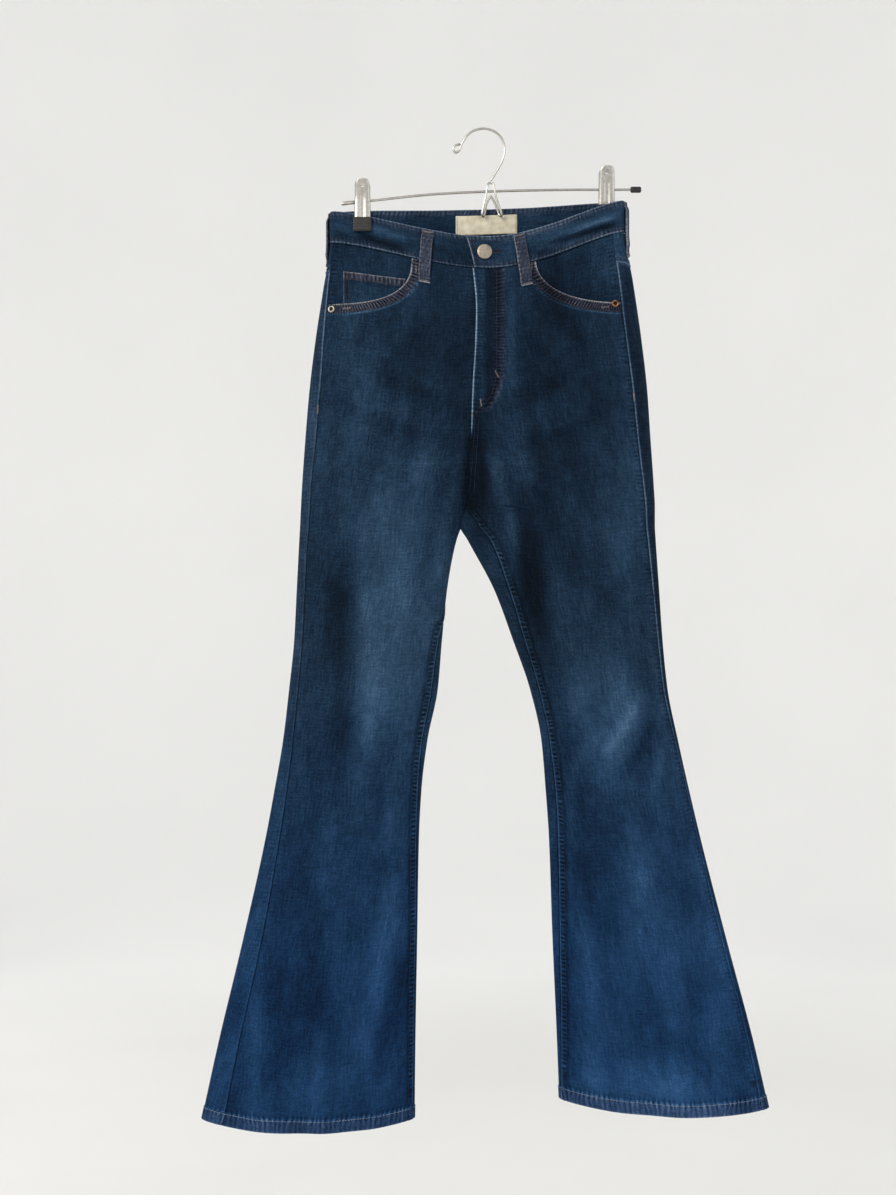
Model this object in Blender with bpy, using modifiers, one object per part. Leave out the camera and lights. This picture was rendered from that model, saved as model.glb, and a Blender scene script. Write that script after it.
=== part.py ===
"""Flared five-pocket jeans hanging from a wire clip hanger.

Metres, +Z up. The origin is the inside of the crown of the hanger's hook, where a peg or rail
carries it. The front of the jeans faces -Y. "left" and "right" are the wearer's, so the right
leg is at -X.

Each half of the jeans is one surface. At every height a ring runs round the half: the angle is 0
on the outer fold, rises over the front to the inner fold at pi, and falls over the back to the
inner fold at -pi. Above the crotch the ring stops short at the centre seam. Every panel is a
stretch of that surface, given a wall that grows inwards. What lies on a panel is made from the
same surface, moved out.
"""

import math
from collections import namedtuple

import bmesh
import bpy
import numpy as np
from mathutils import Matrix, Vector

MM = 0.001

# Cloth, in mm.
DENIM = 1.5            # one layer of stretch denim
HEM_WALL = 3.0         # the hem is denim folded twice
BAND_WALL = 2.6        # the waistband is two layers
PATCH_WALL = 1.2       # pockets lying on a panel
TAPE_WALL = 1.0        # zip tape
LABEL_WALL = 1.0
LOOP_WALL = 1.8        # belt loops are folded strips
GAP = 0.3              # between pieces that are sewn together
PATCH_GAP = 0.9        # between a panel and a patch whose facets differ from its own

# Heights, in mm below the origin.
BAND_TOP = -96.0
BAND_BOTTOM = -133.0
PANEL_TOP = BAND_BOTTOM - 2 * GAP   # the seam under the waistband curves between its facets
CLOSING_STARTS = -300.0   # where the centre seams start to turn in
CROTCH = -440.0
WAIST_SHAPE_ENDS = -250.0  # below this nothing of the clipped waist's shape is left
DROOP_ENDS = -300.0
HEM_DEPTH = 15.0

# The waist hangs between two clips, so the front droops and the whole line tilts a little.
FRONT_DROOP = 41.0
FRONT_DROOP_SKEW = 1.15
FRONT_DROOP_POWER = 1.5
BACK_DROOP = 2.0
TILT = 11.0
FOLD_POWER = 2.2       # 2 makes each ring an ellipse, more makes it flatter

# One row for each section of a half, in mm. outer and inner are the folds' places along X,
# side_seam and inseam how far onto the front the back panel wraps, front and back the depths.
Section = namedtuple("Section", "height outer inner side_seam inseam front back")
RIGHT_HALF = [
    Section(-96, -180, -21, 3, 0, 30, 20),
    Section(-133, -180, -12, 3, 0, 30, 20),
    Section(-187, -188, -8, 6, 0, 31, 22),
    Section(-246, -197, -9, 10, 0, 31, 27),
    Section(-304, -204, -12, 13, 0, 30, 31),
    Section(-363, -209, -14, 13, 0, 28, 31),
    Section(-421, -213, -18, 11, 0, 26, 29),
    Section(-440, -214, -21, 11, 0, 25, 28),
    Section(-480, -216, -32, 10, -6, 24, 26),
    Section(-538, -219, -43, 10, -6, 23, 24),
    Section(-597, -222, -49, 10, 4, 22, 22),
    Section(-655, -228, -54, 11, 7, 20, 20),
    Section(-714, -235, -66, 12, 6, 19, 18),
    Section(-772, -245, -73, 15, 4, 19, 18),
    Section(-831, -256, -76, 17, 3, 20, 20),
    Section(-948, -282, -78, 22, 2, 23, 24),
    Section(-1065, -310, -80, 24, 2, 27, 28),
    Section(-1156, -330, -81, 26, 2, 30, 30),
]
LEFT_HALF = [
    Section(-96, 164, -21, 14, 0, 30, 20),
    Section(-133, 164, -12, 14, 0, 30, 20),
    Section(-187, 174, -8, 17, 0, 31, 22),
    Section(-246, 184, -9, 19, 0, 31, 27),
    Section(-304, 191, -12, 18, 0, 30, 31),
    Section(-363, 195, -14, 16, 0, 28, 31),
    Section(-421, 199, -18, 13, 0, 26, 29),
    Section(-440, 200, -20, 12, 0, 25, 28),
    Section(-480, 201, -17, 10, 18, 24, 26),
    Section(-538, 205, 12, 8, 14, 23, 24),
    Section(-597, 209, 34, 6, 12, 22, 22),
    Section(-655, 215, 54, 5, 10, 20, 20),
    Section(-714, 227, 67, 4, 9, 19, 18),
    Section(-772, 240, 72, 3, 11, 19, 18),
    Section(-831, 254, 76, 4, 10, 20, 20),
    Section(-948, 284, 80, 6, 8, 23, 24),
    Section(-1065, 315, 85, 7, 5, 27, 28),
    Section(-1143, 333, 88, 9, 2, 30, 30),
]
# The largest folds, in mm: each is a soft trough down one face. start, middle and end are its
# shares of the way from the outer fold to the inner one, at its top, half-way and bottom.
Fold = namedtuple("Fold", "side face top bottom start middle end depth width")
FOLDS = [
    Fold("right", "front", -330, -860, 0.16, 0.17, 0.22, 3.0, 26),
    Fold("right", "front", -740, -1156, 0.30, 0.33, 0.47, 7.0, 30),
    Fold("right", "front", -960, -1156, 0.62, 0.65, 0.69, 5.0, 22),
    Fold("left", "front", -360, -620, 0.77, 0.80, 0.80, 4.0, 20),
    Fold("left", "front", -620, -790, 0.12, 0.30, 0.50, 3.0, 22),
    Fold("left", "front", -740, -1143, 0.84, 0.70, 0.58, 7.0, 30),
    Fold("right", "back", -400, -720, 0.55, 0.45, 0.38, 3.5, 26),
    Fold("right", "back", -780, -1156, 0.62, 0.60, 0.52, 7.0, 32),
    Fold("left", "back", -420, -760, 0.40, 0.50, 0.52, 3.5, 26),
    Fold("left", "back", -760, -1143, 0.30, 0.36, 0.40, 7.0, 32),
    Fold("left", "back", -930, -1143, 0.72, 0.74, 0.78, 4.0, 22),
]
# How far the hem's middle hangs below its corners, and how much higher its inner corner is.
HEM_SAG = {"right": 13.0, "left": 11.0}
HEM_INNER_RISE = {"right": 1.0, "left": 11.0}

# The clipped waist seen from above, in mm: the right clip holds front and back together, and
# the left clip holds the back alone, so the front bows forward between them.
Waist = namedtuple("Waist", "along middle front back")
WAIST = [
    Waist(-180, 0, -6, 6),
    Waist(-168, 0, -6, 6),
    Waist(-153, 0, -3.2, 3.2),
    Waist(-131, 0, -3.2, 3.2),
    Waist(-90, 0, -14, 5),
    Waist(-45, 0, -33, 8),
    Waist(0, 0, -42, 9),
    Waist(50, -1, -40, 8),
    Waist(100, -4, -29, 4),
    Waist(131, -7, -22, 1.3),
    Waist(155, -8, -18, 1.3),
    Waist(164, -8, -16, 1.3),
]
WAIST_FOLD_RADIUS = 6.0

# Rows of each leg panel: even steps in the hip, finer ones where the crotch closes, then the leg.
HIP_ROWS = 13
CROTCH_ROWS = (-404, -418, -428, -435, -440, -447, -456, -468)
LEG_ROWS = 11
FRONT_COLUMNS = 11
BACK_COLUMNS = 15

# Pocket mouths on the front: superellipse quarters from the waistband down to the side seam.
Mouth = namedtuple("Mouth", "corner reach drop power")
POCKET_MOUTHS = {
    "right": Mouth(corner=-180.0, reach=96.0, drop=52.0, power=2.6),
    "left": Mouth(corner=157.0, reach=-98.0, drop=48.0, power=2.3),
}
MOUTH_TOP = {"right": -153.5, "left": -156.5}
FACING_DEPTH = 3.5     # the facing's outer side below the front's, past the coin pocket
FACING_WALL = 0.8
FACING_INNER = {"right": -58.0, "left": 42.0}
FACING_BOTTOM = -226.0

# Patches, in mm: places along X at the top and the bottom, and nominal heights.
COIN_LEFT, COIN_RIGHT = -164.0, -92.0
COIN_TOP, COIN_TOP_SLOPE, COIN_BOTTOM = -165.5, 5.0, -216.0
COIN_DEPTH, COIN_WALL = 2.1, 0.8
BACK_POCKET_CENTRE = {"right": -94.0, "left": 82.0}
BACK_POCKET_TOP, BACK_POCKET_HEIGHT, BACK_POCKET_TIP = -214.0, 112.0, 22.0
BACK_POCKET_WIDTH_TOP, BACK_POCKET_WIDTH_BOTTOM = 128.0, 112.0
YOKE_SIDE, YOKE_CENTRE = -166.0, -194.0

# Belt loops, in mm.
LOOP_WIDTH, LOOP_LENGTH = 13.0, 63.0
LOOP_STANDS_OFF = 2.6
Loop = namedtuple("Loop", "name face top bottom")   # places along X at its two ends
LOOPS = [
    Loop("belt_loop_front_right", "front", -64.0, -69.0),
    Loop("belt_loop_front_left", "front", 39.5, 49.0),
    Loop("belt_loop_centre_back", "back", -8.0, -8.0),
]
SideLoop = namedtuple("SideLoop", "name side behind")  # how far behind the outer fold
SIDE_LOOPS = [
    SideLoop("belt_loop_side_right", "right", 7.0),
    SideLoop("belt_loop_side_left", "left", 0.5),
]

# Fly, in mm: the zip lies behind the left front, a little past the fly's edge.
ZIP_AWAY = 11.0
ZIP_TAPE_WIDTH, ZIP_CHAIN_WIDTH = 26.0, 5.0
ZIP_TOP, ZIP_BOTTOM = -136.0, -300.0
ZIP_TAPE_DEPTH, ZIP_CHAIN_DEPTH, ZIP_PULL_DEPTH = 5.8, 4.0, 2.5
ZIP_SLIDER = (7.0, 9.0)
ZIP_PULL = (5.0, 20.0)
BAND_OVERLAP = 26.0    # the waistband's right end goes this far under its left end
BAND_TUCK = 3.0

# Metal trims, in mm.
BUTTON_RADIUS, BUTTON_HEIGHT = 8.6, 3.2
BUTTON_PLACE = (0.0, -114.5)
RIVET_RADIUS, RIVET_HEIGHT = 4.4, 1.6
RIVET_PLACES = {"right": (-177.5, -211.5), "left": (152.0, -210.5)}
TRIM_SIDES = 24

# Woven label inside the back of the waistband, in mm.
LABEL_CENTRE, LABEL_WIDTH, LABEL_HEIGHT, LABEL_TOP = 3.0, 72.0, 22.5, -103.0

# Hanger, in mm.
HOOK_WIRE, ROD_WIRE = 1.4, 1.5
HOOK_ROUTE = [
    (-28.5, -17.0), (-33.8, -18.4), (-35.8, -23.0), (-32.8, -26.6), (-28.6, -23.6),
    (-24.6, -14.0), (-18.7, -5.6), (-10.5, -0.4), (0.0, 1.4), (10.5, -1.0), (18.7, -7.4),
    (23.4, -16.4), (24.6, -24.6), (22.4, -33.9), (17.8, -43.3), (12.4, -52.4), (8.6, -58.5),
]
ROD_ROUTE = [(-150, -84.6), (-127, -82.4), (-63, -75.6), (8, -72.0), (89, -70.2), (171, -70.0)]
SADDLE_FRONT, SADDLE_BACK = -3.2, 0.6
SADDLE_ROUTE = [
    (-2.4, -99.0, -3.2), (0.6, -86.0, -3.4), (3.4, -72.0, -3.4), (4.6, -64.6, -2.6),
    (8.0, -62.4, -1.2), (11.4, -64.6, -2.6), (12.6, -72.0, -3.4), (15.6, -84.0, -3.4),
    (20.4, -98.0, -3.2), (19.4, -101.2, -1.0), (17.4, -98.0, 0.6), (13.0, -86.0, 0.6),
    (9.0, -78.6, 0.6), (7.2, -78.6, 0.6), (3.6, -86.0, 0.6), (0.6, -99.0, 0.6),
    (-0.6, -101.8, -1.2),
]
ROD_TIPS = {
    "rod_tip_right": ((-166.5, -86.4), (-151.0, -84.7), 2.3),
    "rod_tip_left": ((171.5, -70.0), (184.0, -70.0), 3.6),
}
Clip = namedtuple("Clip", "name along rod_height top front_face back_face")
CLIPS = [
    Clip("right", -142.0, -83.9, -58.5, -3.2, 3.2),
    Clip("left", 143.5, -70.0, -43.5, -1.3, 1.3),
]
CLIP_JAW = (22.0, 4.4, 16.5)
CLIP_LENGTH = 61.0
CLIP_PLATE_WIDTH, CLIP_PLATE_WALL, CLIP_PLATE_LIP = 17.0, 1.2, 1.2
SPRING_LENGTH, SPRING_RADIUS, SPRING_BORE = 12.0, 3.6, 1.9

# Colours are linear RGB.
DENIM_COLOUR = (0.022, 0.052, 0.105)
DENIM_FADED = (0.040, 0.085, 0.150)
STEEL_COLOUR = (0.55, 0.55, 0.53)
NICKEL_COLOUR = (0.42, 0.38, 0.31)
COPPER_COLOUR = (0.48, 0.30, 0.20)
SILVER_COLOUR = (0.50, 0.48, 0.45)
RUBBER_COLOUR = (0.010, 0.010, 0.011)
LABEL_COLOUR = (0.58, 0.53, 0.43)
TAPE_COLOUR = (0.012, 0.016, 0.028)


# ---------------------------------------------------------------- scene and materials

def clear_scene():
    """Removes whatever the file starts with."""
    for obj in list(bpy.data.objects):
        bpy.data.objects.remove(obj)


def make_collection(name, shown=True):
    collection = bpy.data.collections.new(name)
    collection.hide_render = not shown
    bpy.context.scene.collection.children.link(collection)
    return collection


def make_material(name, colour, roughness, metallic=0.0):
    material = bpy.data.materials.new(name)
    material.use_nodes = True
    shader = material.node_tree.nodes["Principled BSDF"]
    shader.inputs["Base Color"].default_value = (*colour, 1.0)
    shader.inputs["Roughness"].default_value = roughness
    shader.inputs["Metallic"].default_value = metallic
    return material


def add_mesh(name, points, faces, material, collection):
    """A mesh object from points in mm."""
    mesh = bpy.data.meshes.new(name)
    mesh.from_pydata((np.asarray(points) * MM).tolist(), [], [tuple(map(int, f)) for f in faces])
    mesh.materials.append(material)
    mesh.shade_smooth()
    mesh.set_sharp_from_angle(angle=math.radians(40))
    obj = bpy.data.objects.new(name, mesh)
    collection.objects.link(obj)
    return obj


# ---------------------------------------------------------------- curves through tables

def smoothstep(x):
    x = np.clip(x, 0.0, 1.0)
    return x * x * (3.0 - 2.0 * x)


def smooth_table(x, at, values):
    """A curve through a table's rows that never overshoots them (monotone cubic)."""
    at, values = np.asarray(at, float), np.asarray(values, float)
    if at[0] > at[-1]:
        at, values = at[::-1], values[::-1]
    step, slope = np.diff(at), np.diff(values) / np.diff(at)
    tangent = np.zeros(len(at))
    same_way = slope[:-1] * slope[1:] > 0
    weight_a, weight_b = 2 * step[1:] + step[:-1], step[1:] + 2 * step[:-1]
    safe = np.where(same_way, slope[:-1], 1.0), np.where(same_way, slope[1:], 1.0)
    mean = (weight_a + weight_b) / (weight_a / safe[0] + weight_b / safe[1])
    tangent[1:-1] = np.where(same_way, mean, 0.0)
    tangent[0], tangent[-1] = slope[0], slope[-1]
    x = np.clip(np.asarray(x, float), at[0], at[-1])
    i = np.clip(np.searchsorted(at, x) - 1, 0, len(step) - 1)
    t = (x - at[i]) / step[i]
    rise = values[i + 1] - values[i]
    start, end = tangent[i] * step[i], tangent[i + 1] * step[i]
    return values[i] + t * (start + t * (3 * rise - 2 * start - end + t * (start + end - 2 * rise)))


def column(table, name, x, key):
    """One named column of a table, read at x along its key column."""
    return smooth_table(x, [getattr(r, key) for r in table], [getattr(r, name) for r in table])


# ---------------------------------------------------------------- the surface of one half

class Half:
    """One half of the jeans, as a surface of (angle round the ring, nominal height)."""

    def __init__(self, side):
        self.side = side
        self.table = RIGHT_HALF if side == "right" else LEFT_HALF
        self.hem = self.table[-1].height
        self.sign = -1.0 if side == "right" else 1.0

    def read(self, name, height):
        return column(self.table, name, height, "height")

    def closing(self, height):
        """0 where front and back are open to the other half, 1 from the crotch down."""
        return smoothstep((CLOSING_STARTS - height) / (CLOSING_STARTS - CROTCH))

    def last_angle(self, height):
        """Where the ring meets the centre seam: pi below the crotch."""
        return np.arccos(-self.closing(height) ** (FOLD_POWER / 2))

    def half_width(self, height):
        """From the outer fold to the ring's deepest point."""
        width = np.abs(self.read("inner", height) - self.read("outer", height))
        return width / (1.0 + self.closing(height))

    def angle_at(self, inset, height, from_inner=False):
        """The angle of a line that lies this far inside the fold's outline."""
        reach = np.clip(1.0 - np.abs(inset) / self.half_width(height), 0.0, 1.0)
        turn = np.sign(inset) * np.arccos(reach ** (FOLD_POWER / 2))
        return np.pi - turn if from_inner else turn

    def point(self, angle, height):
        """The point of the outside of the cloth, in mm."""
        angle, height = np.broadcast_arrays(np.asarray(angle, float), np.asarray(height, float))
        cosine = np.cos(angle)
        along = 1.0 - np.sign(cosine) * np.abs(cosine) ** (2 / FOLD_POWER)
        bulge = np.abs(np.sin(angle)) ** (2 / FOLD_POWER)
        front = np.sin(angle) >= 0
        outer, inner = self.read("outer", height), self.read("inner", height)
        x = outer + (inner - outer) * along / (1.0 + self.closing(height))
        depth = np.where(front, -self.read("front", height), self.read("back", height))
        folds = self.fold_depth((x - outer) / (inner - outer), height, front)
        y = (depth - np.where(front, -1.0, 1.0) * folds) * bulge
        blend = smoothstep((height - WAIST_SHAPE_ENDS) / (BAND_BOTTOM - WAIST_SHAPE_ENDS))
        y = y + blend * (waist_depth(x, outer, front) - y)
        return np.stack([x, y, self.drop(x, height, front)], axis=-1)

    def fold_depth(self, share, height, front):
        """How far the troughs sink the cloth at a share of the way from outer to inner fold."""
        width = np.abs(self.read("inner", height) - self.read("outer", height))
        sunk = np.zeros(np.shape(share))
        for fold in FOLDS:
            if fold.side != self.side:
                continue
            run = (fold.top - height) / (fold.top - fold.bottom)
            bend = 4.0 * run * (1.0 - run) * (fold.middle - (fold.start + fold.end) / 2)
            line = fold.start + (fold.end - fold.start) * run + bend
            reaches_hem = fold.bottom <= self.hem
            strength = smoothstep(run / 0.4) * (1.0 if reaches_hem else smoothstep((1 - run) / 0.4))
            bell = np.exp(-((share - line) * width / fold.width) ** 2)
            sunk += np.where(front == (fold.face == "front"), fold.depth * strength * bell, 0.0)
        return sunk

    def drop(self, x, height, front):
        """The true height of a nominal one: the waist tilts and droops, and the hem sags."""
        fade = smoothstep((height - DROOP_ENDS) / (BAND_BOTTOM - DROOP_ENDS))
        across = np.clip((x - RIGHT_HALF[0].outer) / (LEFT_HALF[0].outer - RIGHT_HALF[0].outer), 0, 1)
        droop = np.sin(np.pi * across ** FRONT_DROOP_SKEW) ** FRONT_DROOP_POWER
        droop = np.where(front, FRONT_DROOP, BACK_DROOP) * droop
        near_hem = smoothstep((CROTCH - height) / (CROTCH - self.hem)) ** 2
        outer, inner = self.read("outer", height), self.read("inner", height)
        over_leg = np.clip((x - outer) / (inner - outer), 0, 1)
        sag = HEM_SAG[self.side] * np.sin(np.pi * over_leg)
        rise = HEM_INNER_RISE[self.side] * over_leg
        return height + fade * (TILT * across - droop) + near_hem * (rise - sag)

    def normal(self, angle, height):
        """The way out of the cloth, from the slopes of the surface."""
        small_angle, small_height = 1e-3, 0.05
        across = self.point(angle + small_angle, height) - self.point(angle - small_angle, height)
        down = self.point(angle, height - small_height) - self.point(angle, height + small_height)
        out = self.sign * np.cross(across, down)
        return out / np.linalg.norm(out, axis=-1, keepdims=True)

    def turn_for(self, distance, angle, height):
        """The change of angle that moves a point this far along the ring."""
        small = 1e-3
        step = self.point(angle + small, height) - self.point(angle - small, height)
        return distance * 2 * small / np.linalg.norm(step, axis=-1)

    def angle_round_fold(self, distances, height):
        """Angles at distances along one ring from the outer fold, positive over the front."""
        angles = np.linspace(-0.6 * np.pi, 0.6 * np.pi, 601)
        steps = np.linalg.norm(np.diff(self.point(angles, height), axis=0), axis=-1)
        length = np.concatenate([[0.0], np.cumsum(steps)])
        return np.interp(distances, length - np.interp(0.0, angles, length), angles)

    def angle_of_x(self, x, height, face):
        """The angle of the point at this place along X, on the front or the back."""
        outer, inner = self.read("outer", height), self.read("inner", height)
        along = (x - outer) / (inner - outer) * (1.0 + self.closing(height))
        cosine = 1.0 - np.clip(along, 0.0, 2.0)
        angle = np.arccos(np.sign(cosine) * np.abs(cosine) ** (FOLD_POWER / 2))
        return angle if face == "front" else -angle


def waist_depth(x, outer, front):
    """How far forward or back the clipped waist stands, with a round fold at each side."""
    middle = column(WAIST, "middle", x, "along")
    face = np.where(front, column(WAIST, "front", x, "along"), column(WAIST, "back", x, "along"))
    into = np.clip(np.abs(x - outer) / WAIST_FOLD_RADIUS, 0.0, 1.0)
    return middle + np.sqrt(1.0 - (1.0 - into) ** 2) * (face - middle)


HALVES = {side: Half(side) for side in ("right", "left")}


def half_at(x, height):
    """The half that a place along X belongs to."""
    return HALVES["right" if x < HALVES["right"].read("inner", height) else "left"]


def on_torso(x, height, face):
    """Point and outward normal of the hip at (x, nominal height), for grids of any shape."""
    points, normals = np.zeros((*x.shape, 3)), np.zeros((*x.shape, 3))
    for index in np.ndindex(x.shape):
        half = half_at(x[index], height[index])
        angle = half.angle_of_x(x[index], height[index], face)
        points[index] = half.point(angle, height[index])
        normals[index] = half.normal(angle, height[index])
        points[index][0] = x[index]
    return points, normals


# ---------------------------------------------------------------- walls

def wall(name, outside, normals, thickness, material, collection):
    """A closed wall from a grid of points of its outer side, grown inwards along the normals."""
    rows, columns = outside.shape[:2]
    inside = outside - normals * np.broadcast_to(thickness, (rows, columns))[..., None]
    index = np.arange(rows * columns).reshape(rows, columns)
    quads = np.stack([index[:-1, :-1], index[1:, :-1], index[1:, 1:], index[:-1, 1:]], -1)
    quads = quads.reshape(-1, 4)
    edge = np.concatenate([index[:-1, 0], index[-1, :-1], index[:0:-1, -1], index[0, :0:-1]])
    following = np.roll(edge, -1)
    shift = rows * columns
    rim = np.stack([following, edge, edge + shift, following + shift], -1)
    faces = np.concatenate([quads, quads[:, ::-1] + shift, rim])
    points = np.concatenate([outside.reshape(-1, 3), inside.reshape(-1, 3)])
    if wall_volume(points, faces) < 0:
        faces = faces[:, ::-1]
    return add_mesh(name, points, faces, material, collection)


def wall_volume(points, faces):
    """The signed volume of a closed mesh of quads."""
    a, b, c, d = (points[faces[:, i]] for i in range(4))
    return float((np.einsum("ij,ij->i", a, np.cross(b, c))
                  + np.einsum("ij,ij->i", a, np.cross(c, d))).sum()) / 6.0


def even(start, end, count):
    return np.linspace(start, end, count)


def panel_rows(hem):
    """The nominal heights of a leg panel's rows, from the waistband to the hem."""
    hip = even(PANEL_TOP, CROTCH_ROWS[0] + 16, HIP_ROWS)
    leg = even(CROTCH_ROWS[-1] - 24, hem + HEM_DEPTH + 3, LEG_ROWS)
    return np.concatenate([hip, CROTCH_ROWS, leg, [hem + HEM_DEPTH, hem]])


def panel_wall(rows, hem):
    """The wall at each row: denim, and three layers of it over the hem's depth."""
    return np.where(rows <= hem + HEM_DEPTH + 0.01, HEM_WALL, DENIM)


def front_panel(side, material, collection):
    """From the side seam over the front to the fly or the inseam."""
    half = HALVES[side]
    rows = panel_rows(half.hem)
    start = half.angle_at(half.read("side_seam", rows), rows)
    start = start + half.turn_for(GAP / 2, start, rows)
    end = seam_end(half, rows)
    share = even(0.0, 1.0, FRONT_COLUMNS)
    angle = start[:, None] + (end - start)[:, None] * share
    height = np.broadcast_to(rows[:, None], angle.shape)
    return wall(f"front_{side}", half.point(angle, height), half.normal(angle, height),
                panel_wall(rows, half.hem)[:, None], material, collection)


def seam_end(half, rows):
    """The front panel's inner edge: the centre seam, then the inseam."""
    centre = half.last_angle(rows)
    inseam = half.angle_at(half.read("inseam", rows), rows, from_inner=True)
    end = np.where(rows > CROTCH, centre, inseam)
    return end - half.turn_for(GAP / 2, end, rows)


def back_start(half, rows):
    """The back panel's inner edge, as a negative angle, past -pi where it wraps to the front."""
    centre = -half.last_angle(rows)
    inseam = half.angle_at(half.read("inseam", rows), rows, from_inner=True) - 2 * np.pi
    start = np.where(rows > CROTCH, centre, inseam)
    return start + half.turn_for(GAP / 2, start, rows)


def back_grid(half, height, start, columns):
    """Angles from the inner edge round the back and the outer fold to the side seam."""
    end = half.angle_at(half.read("side_seam", height), height)
    end = end - half.turn_for(GAP / 2, end, height)
    return start + (end - start) * even(0.0, 1.0, columns)


def yoke_seam(share):
    """The nominal height of the yoke's lower seam, from the centre back (0) to the side (1)."""
    return YOKE_CENTRE + (YOKE_SIDE - YOKE_CENTRE) * share


def back_panel(side, material, collection):
    """From the inseam or centre back, round the back, to the side seam on the front."""
    half = HALVES[side]
    rows = panel_rows(half.hem)
    share = even(0.0, 1.0, BACK_COLUMNS)
    top = yoke_seam(share) - GAP
    slide = np.clip((rows - CROTCH) / (rows[0] - CROTCH), 0.0, 1.0)
    height = rows[:, None] + (top - rows[0])[None, :] * slide[:, None]
    start = np.stack([back_start(half, h) for h in height.T], axis=1)
    end = half.angle_at(half.read("side_seam", height), height)
    end = end - half.turn_for(GAP / 2, end, height)
    angle = start + (end - start) * share
    return wall(f"back_{side}", half.point(angle, height), half.normal(angle, height),
                panel_wall(rows, half.hem)[:, None], material, collection)


def yoke(side, material, collection):
    """The wedge between the waistband and the back panel."""
    half = HALVES[side]
    share = even(0.0, 1.0, BACK_COLUMNS)
    top = PANEL_TOP
    height = top + (yoke_seam(share) - top)[None, :] * even(0.0, 1.0, 4)[:, None]
    start = np.stack([back_start(half, h) for h in height.T], axis=1)
    end = half.angle_at(half.read("side_seam", height), height)
    end = end - half.turn_for(GAP / 2, end, height)
    angle = start + (end - start) * share
    return wall(f"yoke_{side}", half.point(angle, height), half.normal(angle, height),
                DENIM, material, collection)


def waistband(material, collection):
    """One strip: from its end under the button, round the right side and the back, to the
    buttonhole end that lies over it."""
    heights = even(BAND_TOP, BAND_BOTTOM, 3)
    right, left = HALVES["right"], HALVES["left"]
    strips, outs = [], []
    for height in heights:
        row, out = [], []
        centre = float(right.read("inner", height))
        for x in even(centre + BAND_OVERLAP, centre + 1.0, 6):
            angle = left.angle_of_x(x, height, "front")
            row.append(left.point(angle, height) - left.normal(angle, height) * BAND_TUCK)
            out.append(left.normal(angle, height))
        angles = even(math.pi / 2, -math.pi / 2, 35)[1:]
        tuck = BAND_TUCK * smoothstep((angles - 1.40) / (math.pi / 2 - 1.40))
        normal = right.normal(angles, height)
        row.extend(right.point(angles, height) - normal * tuck[:, None])
        out.extend(normal)
        angles = even(-math.pi / 2, math.pi / 2, 35)[1:]
        row.extend(left.point(angles, height))
        out.extend(left.normal(angles, height))
        strips.append(row)
        outs.append(out)
    return wall("waistband", np.array(strips), np.array(outs), BAND_WALL, material, collection)


def torso_patch(name, x, height, face, out, thickness, material, collection):
    """A wall lying over the hip, from grids of places and nominal heights.

    out is how far its outer side stands outside the panel's own: negative is inside it."""
    points, normals = on_torso(x, height, face)
    lifted = points + normals * np.broadcast_to(out, x.shape)[..., None]
    return wall(name, lifted, normals, thickness, material, collection)


def facing(side, material, collection):
    """The piece that shows in the pocket mouth, sewn to the side seam and the waistband."""
    half = HALVES[side]
    rows = even(PANEL_TOP, FACING_BOTTOM, 7)
    start = half.angle_at(half.read("side_seam", rows), rows)
    start = start + half.turn_for(GAP / 2, start, rows)
    end = half.angle_of_x(FACING_INNER[side], rows, "front")
    angle = start[:, None] + (end - start)[:, None] * even(0.0, 1.0, 9)
    height = np.broadcast_to(rows[:, None], angle.shape)
    normals = half.normal(angle, height)
    outside = half.point(angle, height) - normals * FACING_DEPTH
    return wall(f"pocket_facing_{side}", outside, normals, FACING_WALL, material, collection)


def coin_pocket(material, collection):
    """The small pocket on the right facing, running on behind the front panel."""
    across, down = np.meshgrid(even(0.0, 1.0, 6), even(0.0, 1.0, 5))
    x = COIN_LEFT + (COIN_RIGHT - COIN_LEFT) * across
    top = COIN_TOP + COIN_TOP_SLOPE * across
    height = top + (COIN_BOTTOM - top) * down
    return torso_patch("coin_pocket", x, height, "front", -COIN_DEPTH, COIN_WALL, material,
                       collection)


def back_pocket(side, material, collection):
    """A patch with a pointed foot."""
    across, down = np.meshgrid(even(-0.5, 0.5, 9), even(0.0, 1.0, 7))
    width = BACK_POCKET_WIDTH_TOP + (BACK_POCKET_WIDTH_BOTTOM - BACK_POCKET_WIDTH_TOP) * down
    x = BACK_POCKET_CENTRE[side] + across * width
    foot = BACK_POCKET_HEIGHT + BACK_POCKET_TIP * (1.0 - 2.0 * np.abs(across))
    height = BACK_POCKET_TOP - foot * down
    return torso_patch(f"back_pocket_{side}", x, height, "back", PATCH_GAP + PATCH_WALL, PATCH_WALL,
                       material, collection)


def loop_grid(columns):
    """Shares across and down a belt loop, nominal heights, and how far its outer side is out."""
    share = np.array([0.0, 0.05, 0.10, 0.16, 0.30, 0.50, 0.66, 0.76, 0.84, 0.92, 1.0])
    across, down = np.meshgrid(even(-0.5, 0.5, columns), share)
    lift = smoothstep((down - 0.05) / 0.11) * smoothstep((0.92 - down) / 0.16)
    out = PATCH_GAP + LOOP_WALL + LOOP_STANDS_OFF * lift
    return across, down, BAND_TOP - 1.5 - LOOP_LENGTH * down, out


def belt_loop(loop, material, collection):
    """A strip tacked down at both ends that stands off the band between them."""
    across, down, height, out = loop_grid(3)
    x = loop.top + (loop.bottom - loop.top) * down + across * LOOP_WIDTH
    return torso_patch(loop.name, x, height, loop.face, out, LOOP_WALL, material, collection)


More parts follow.
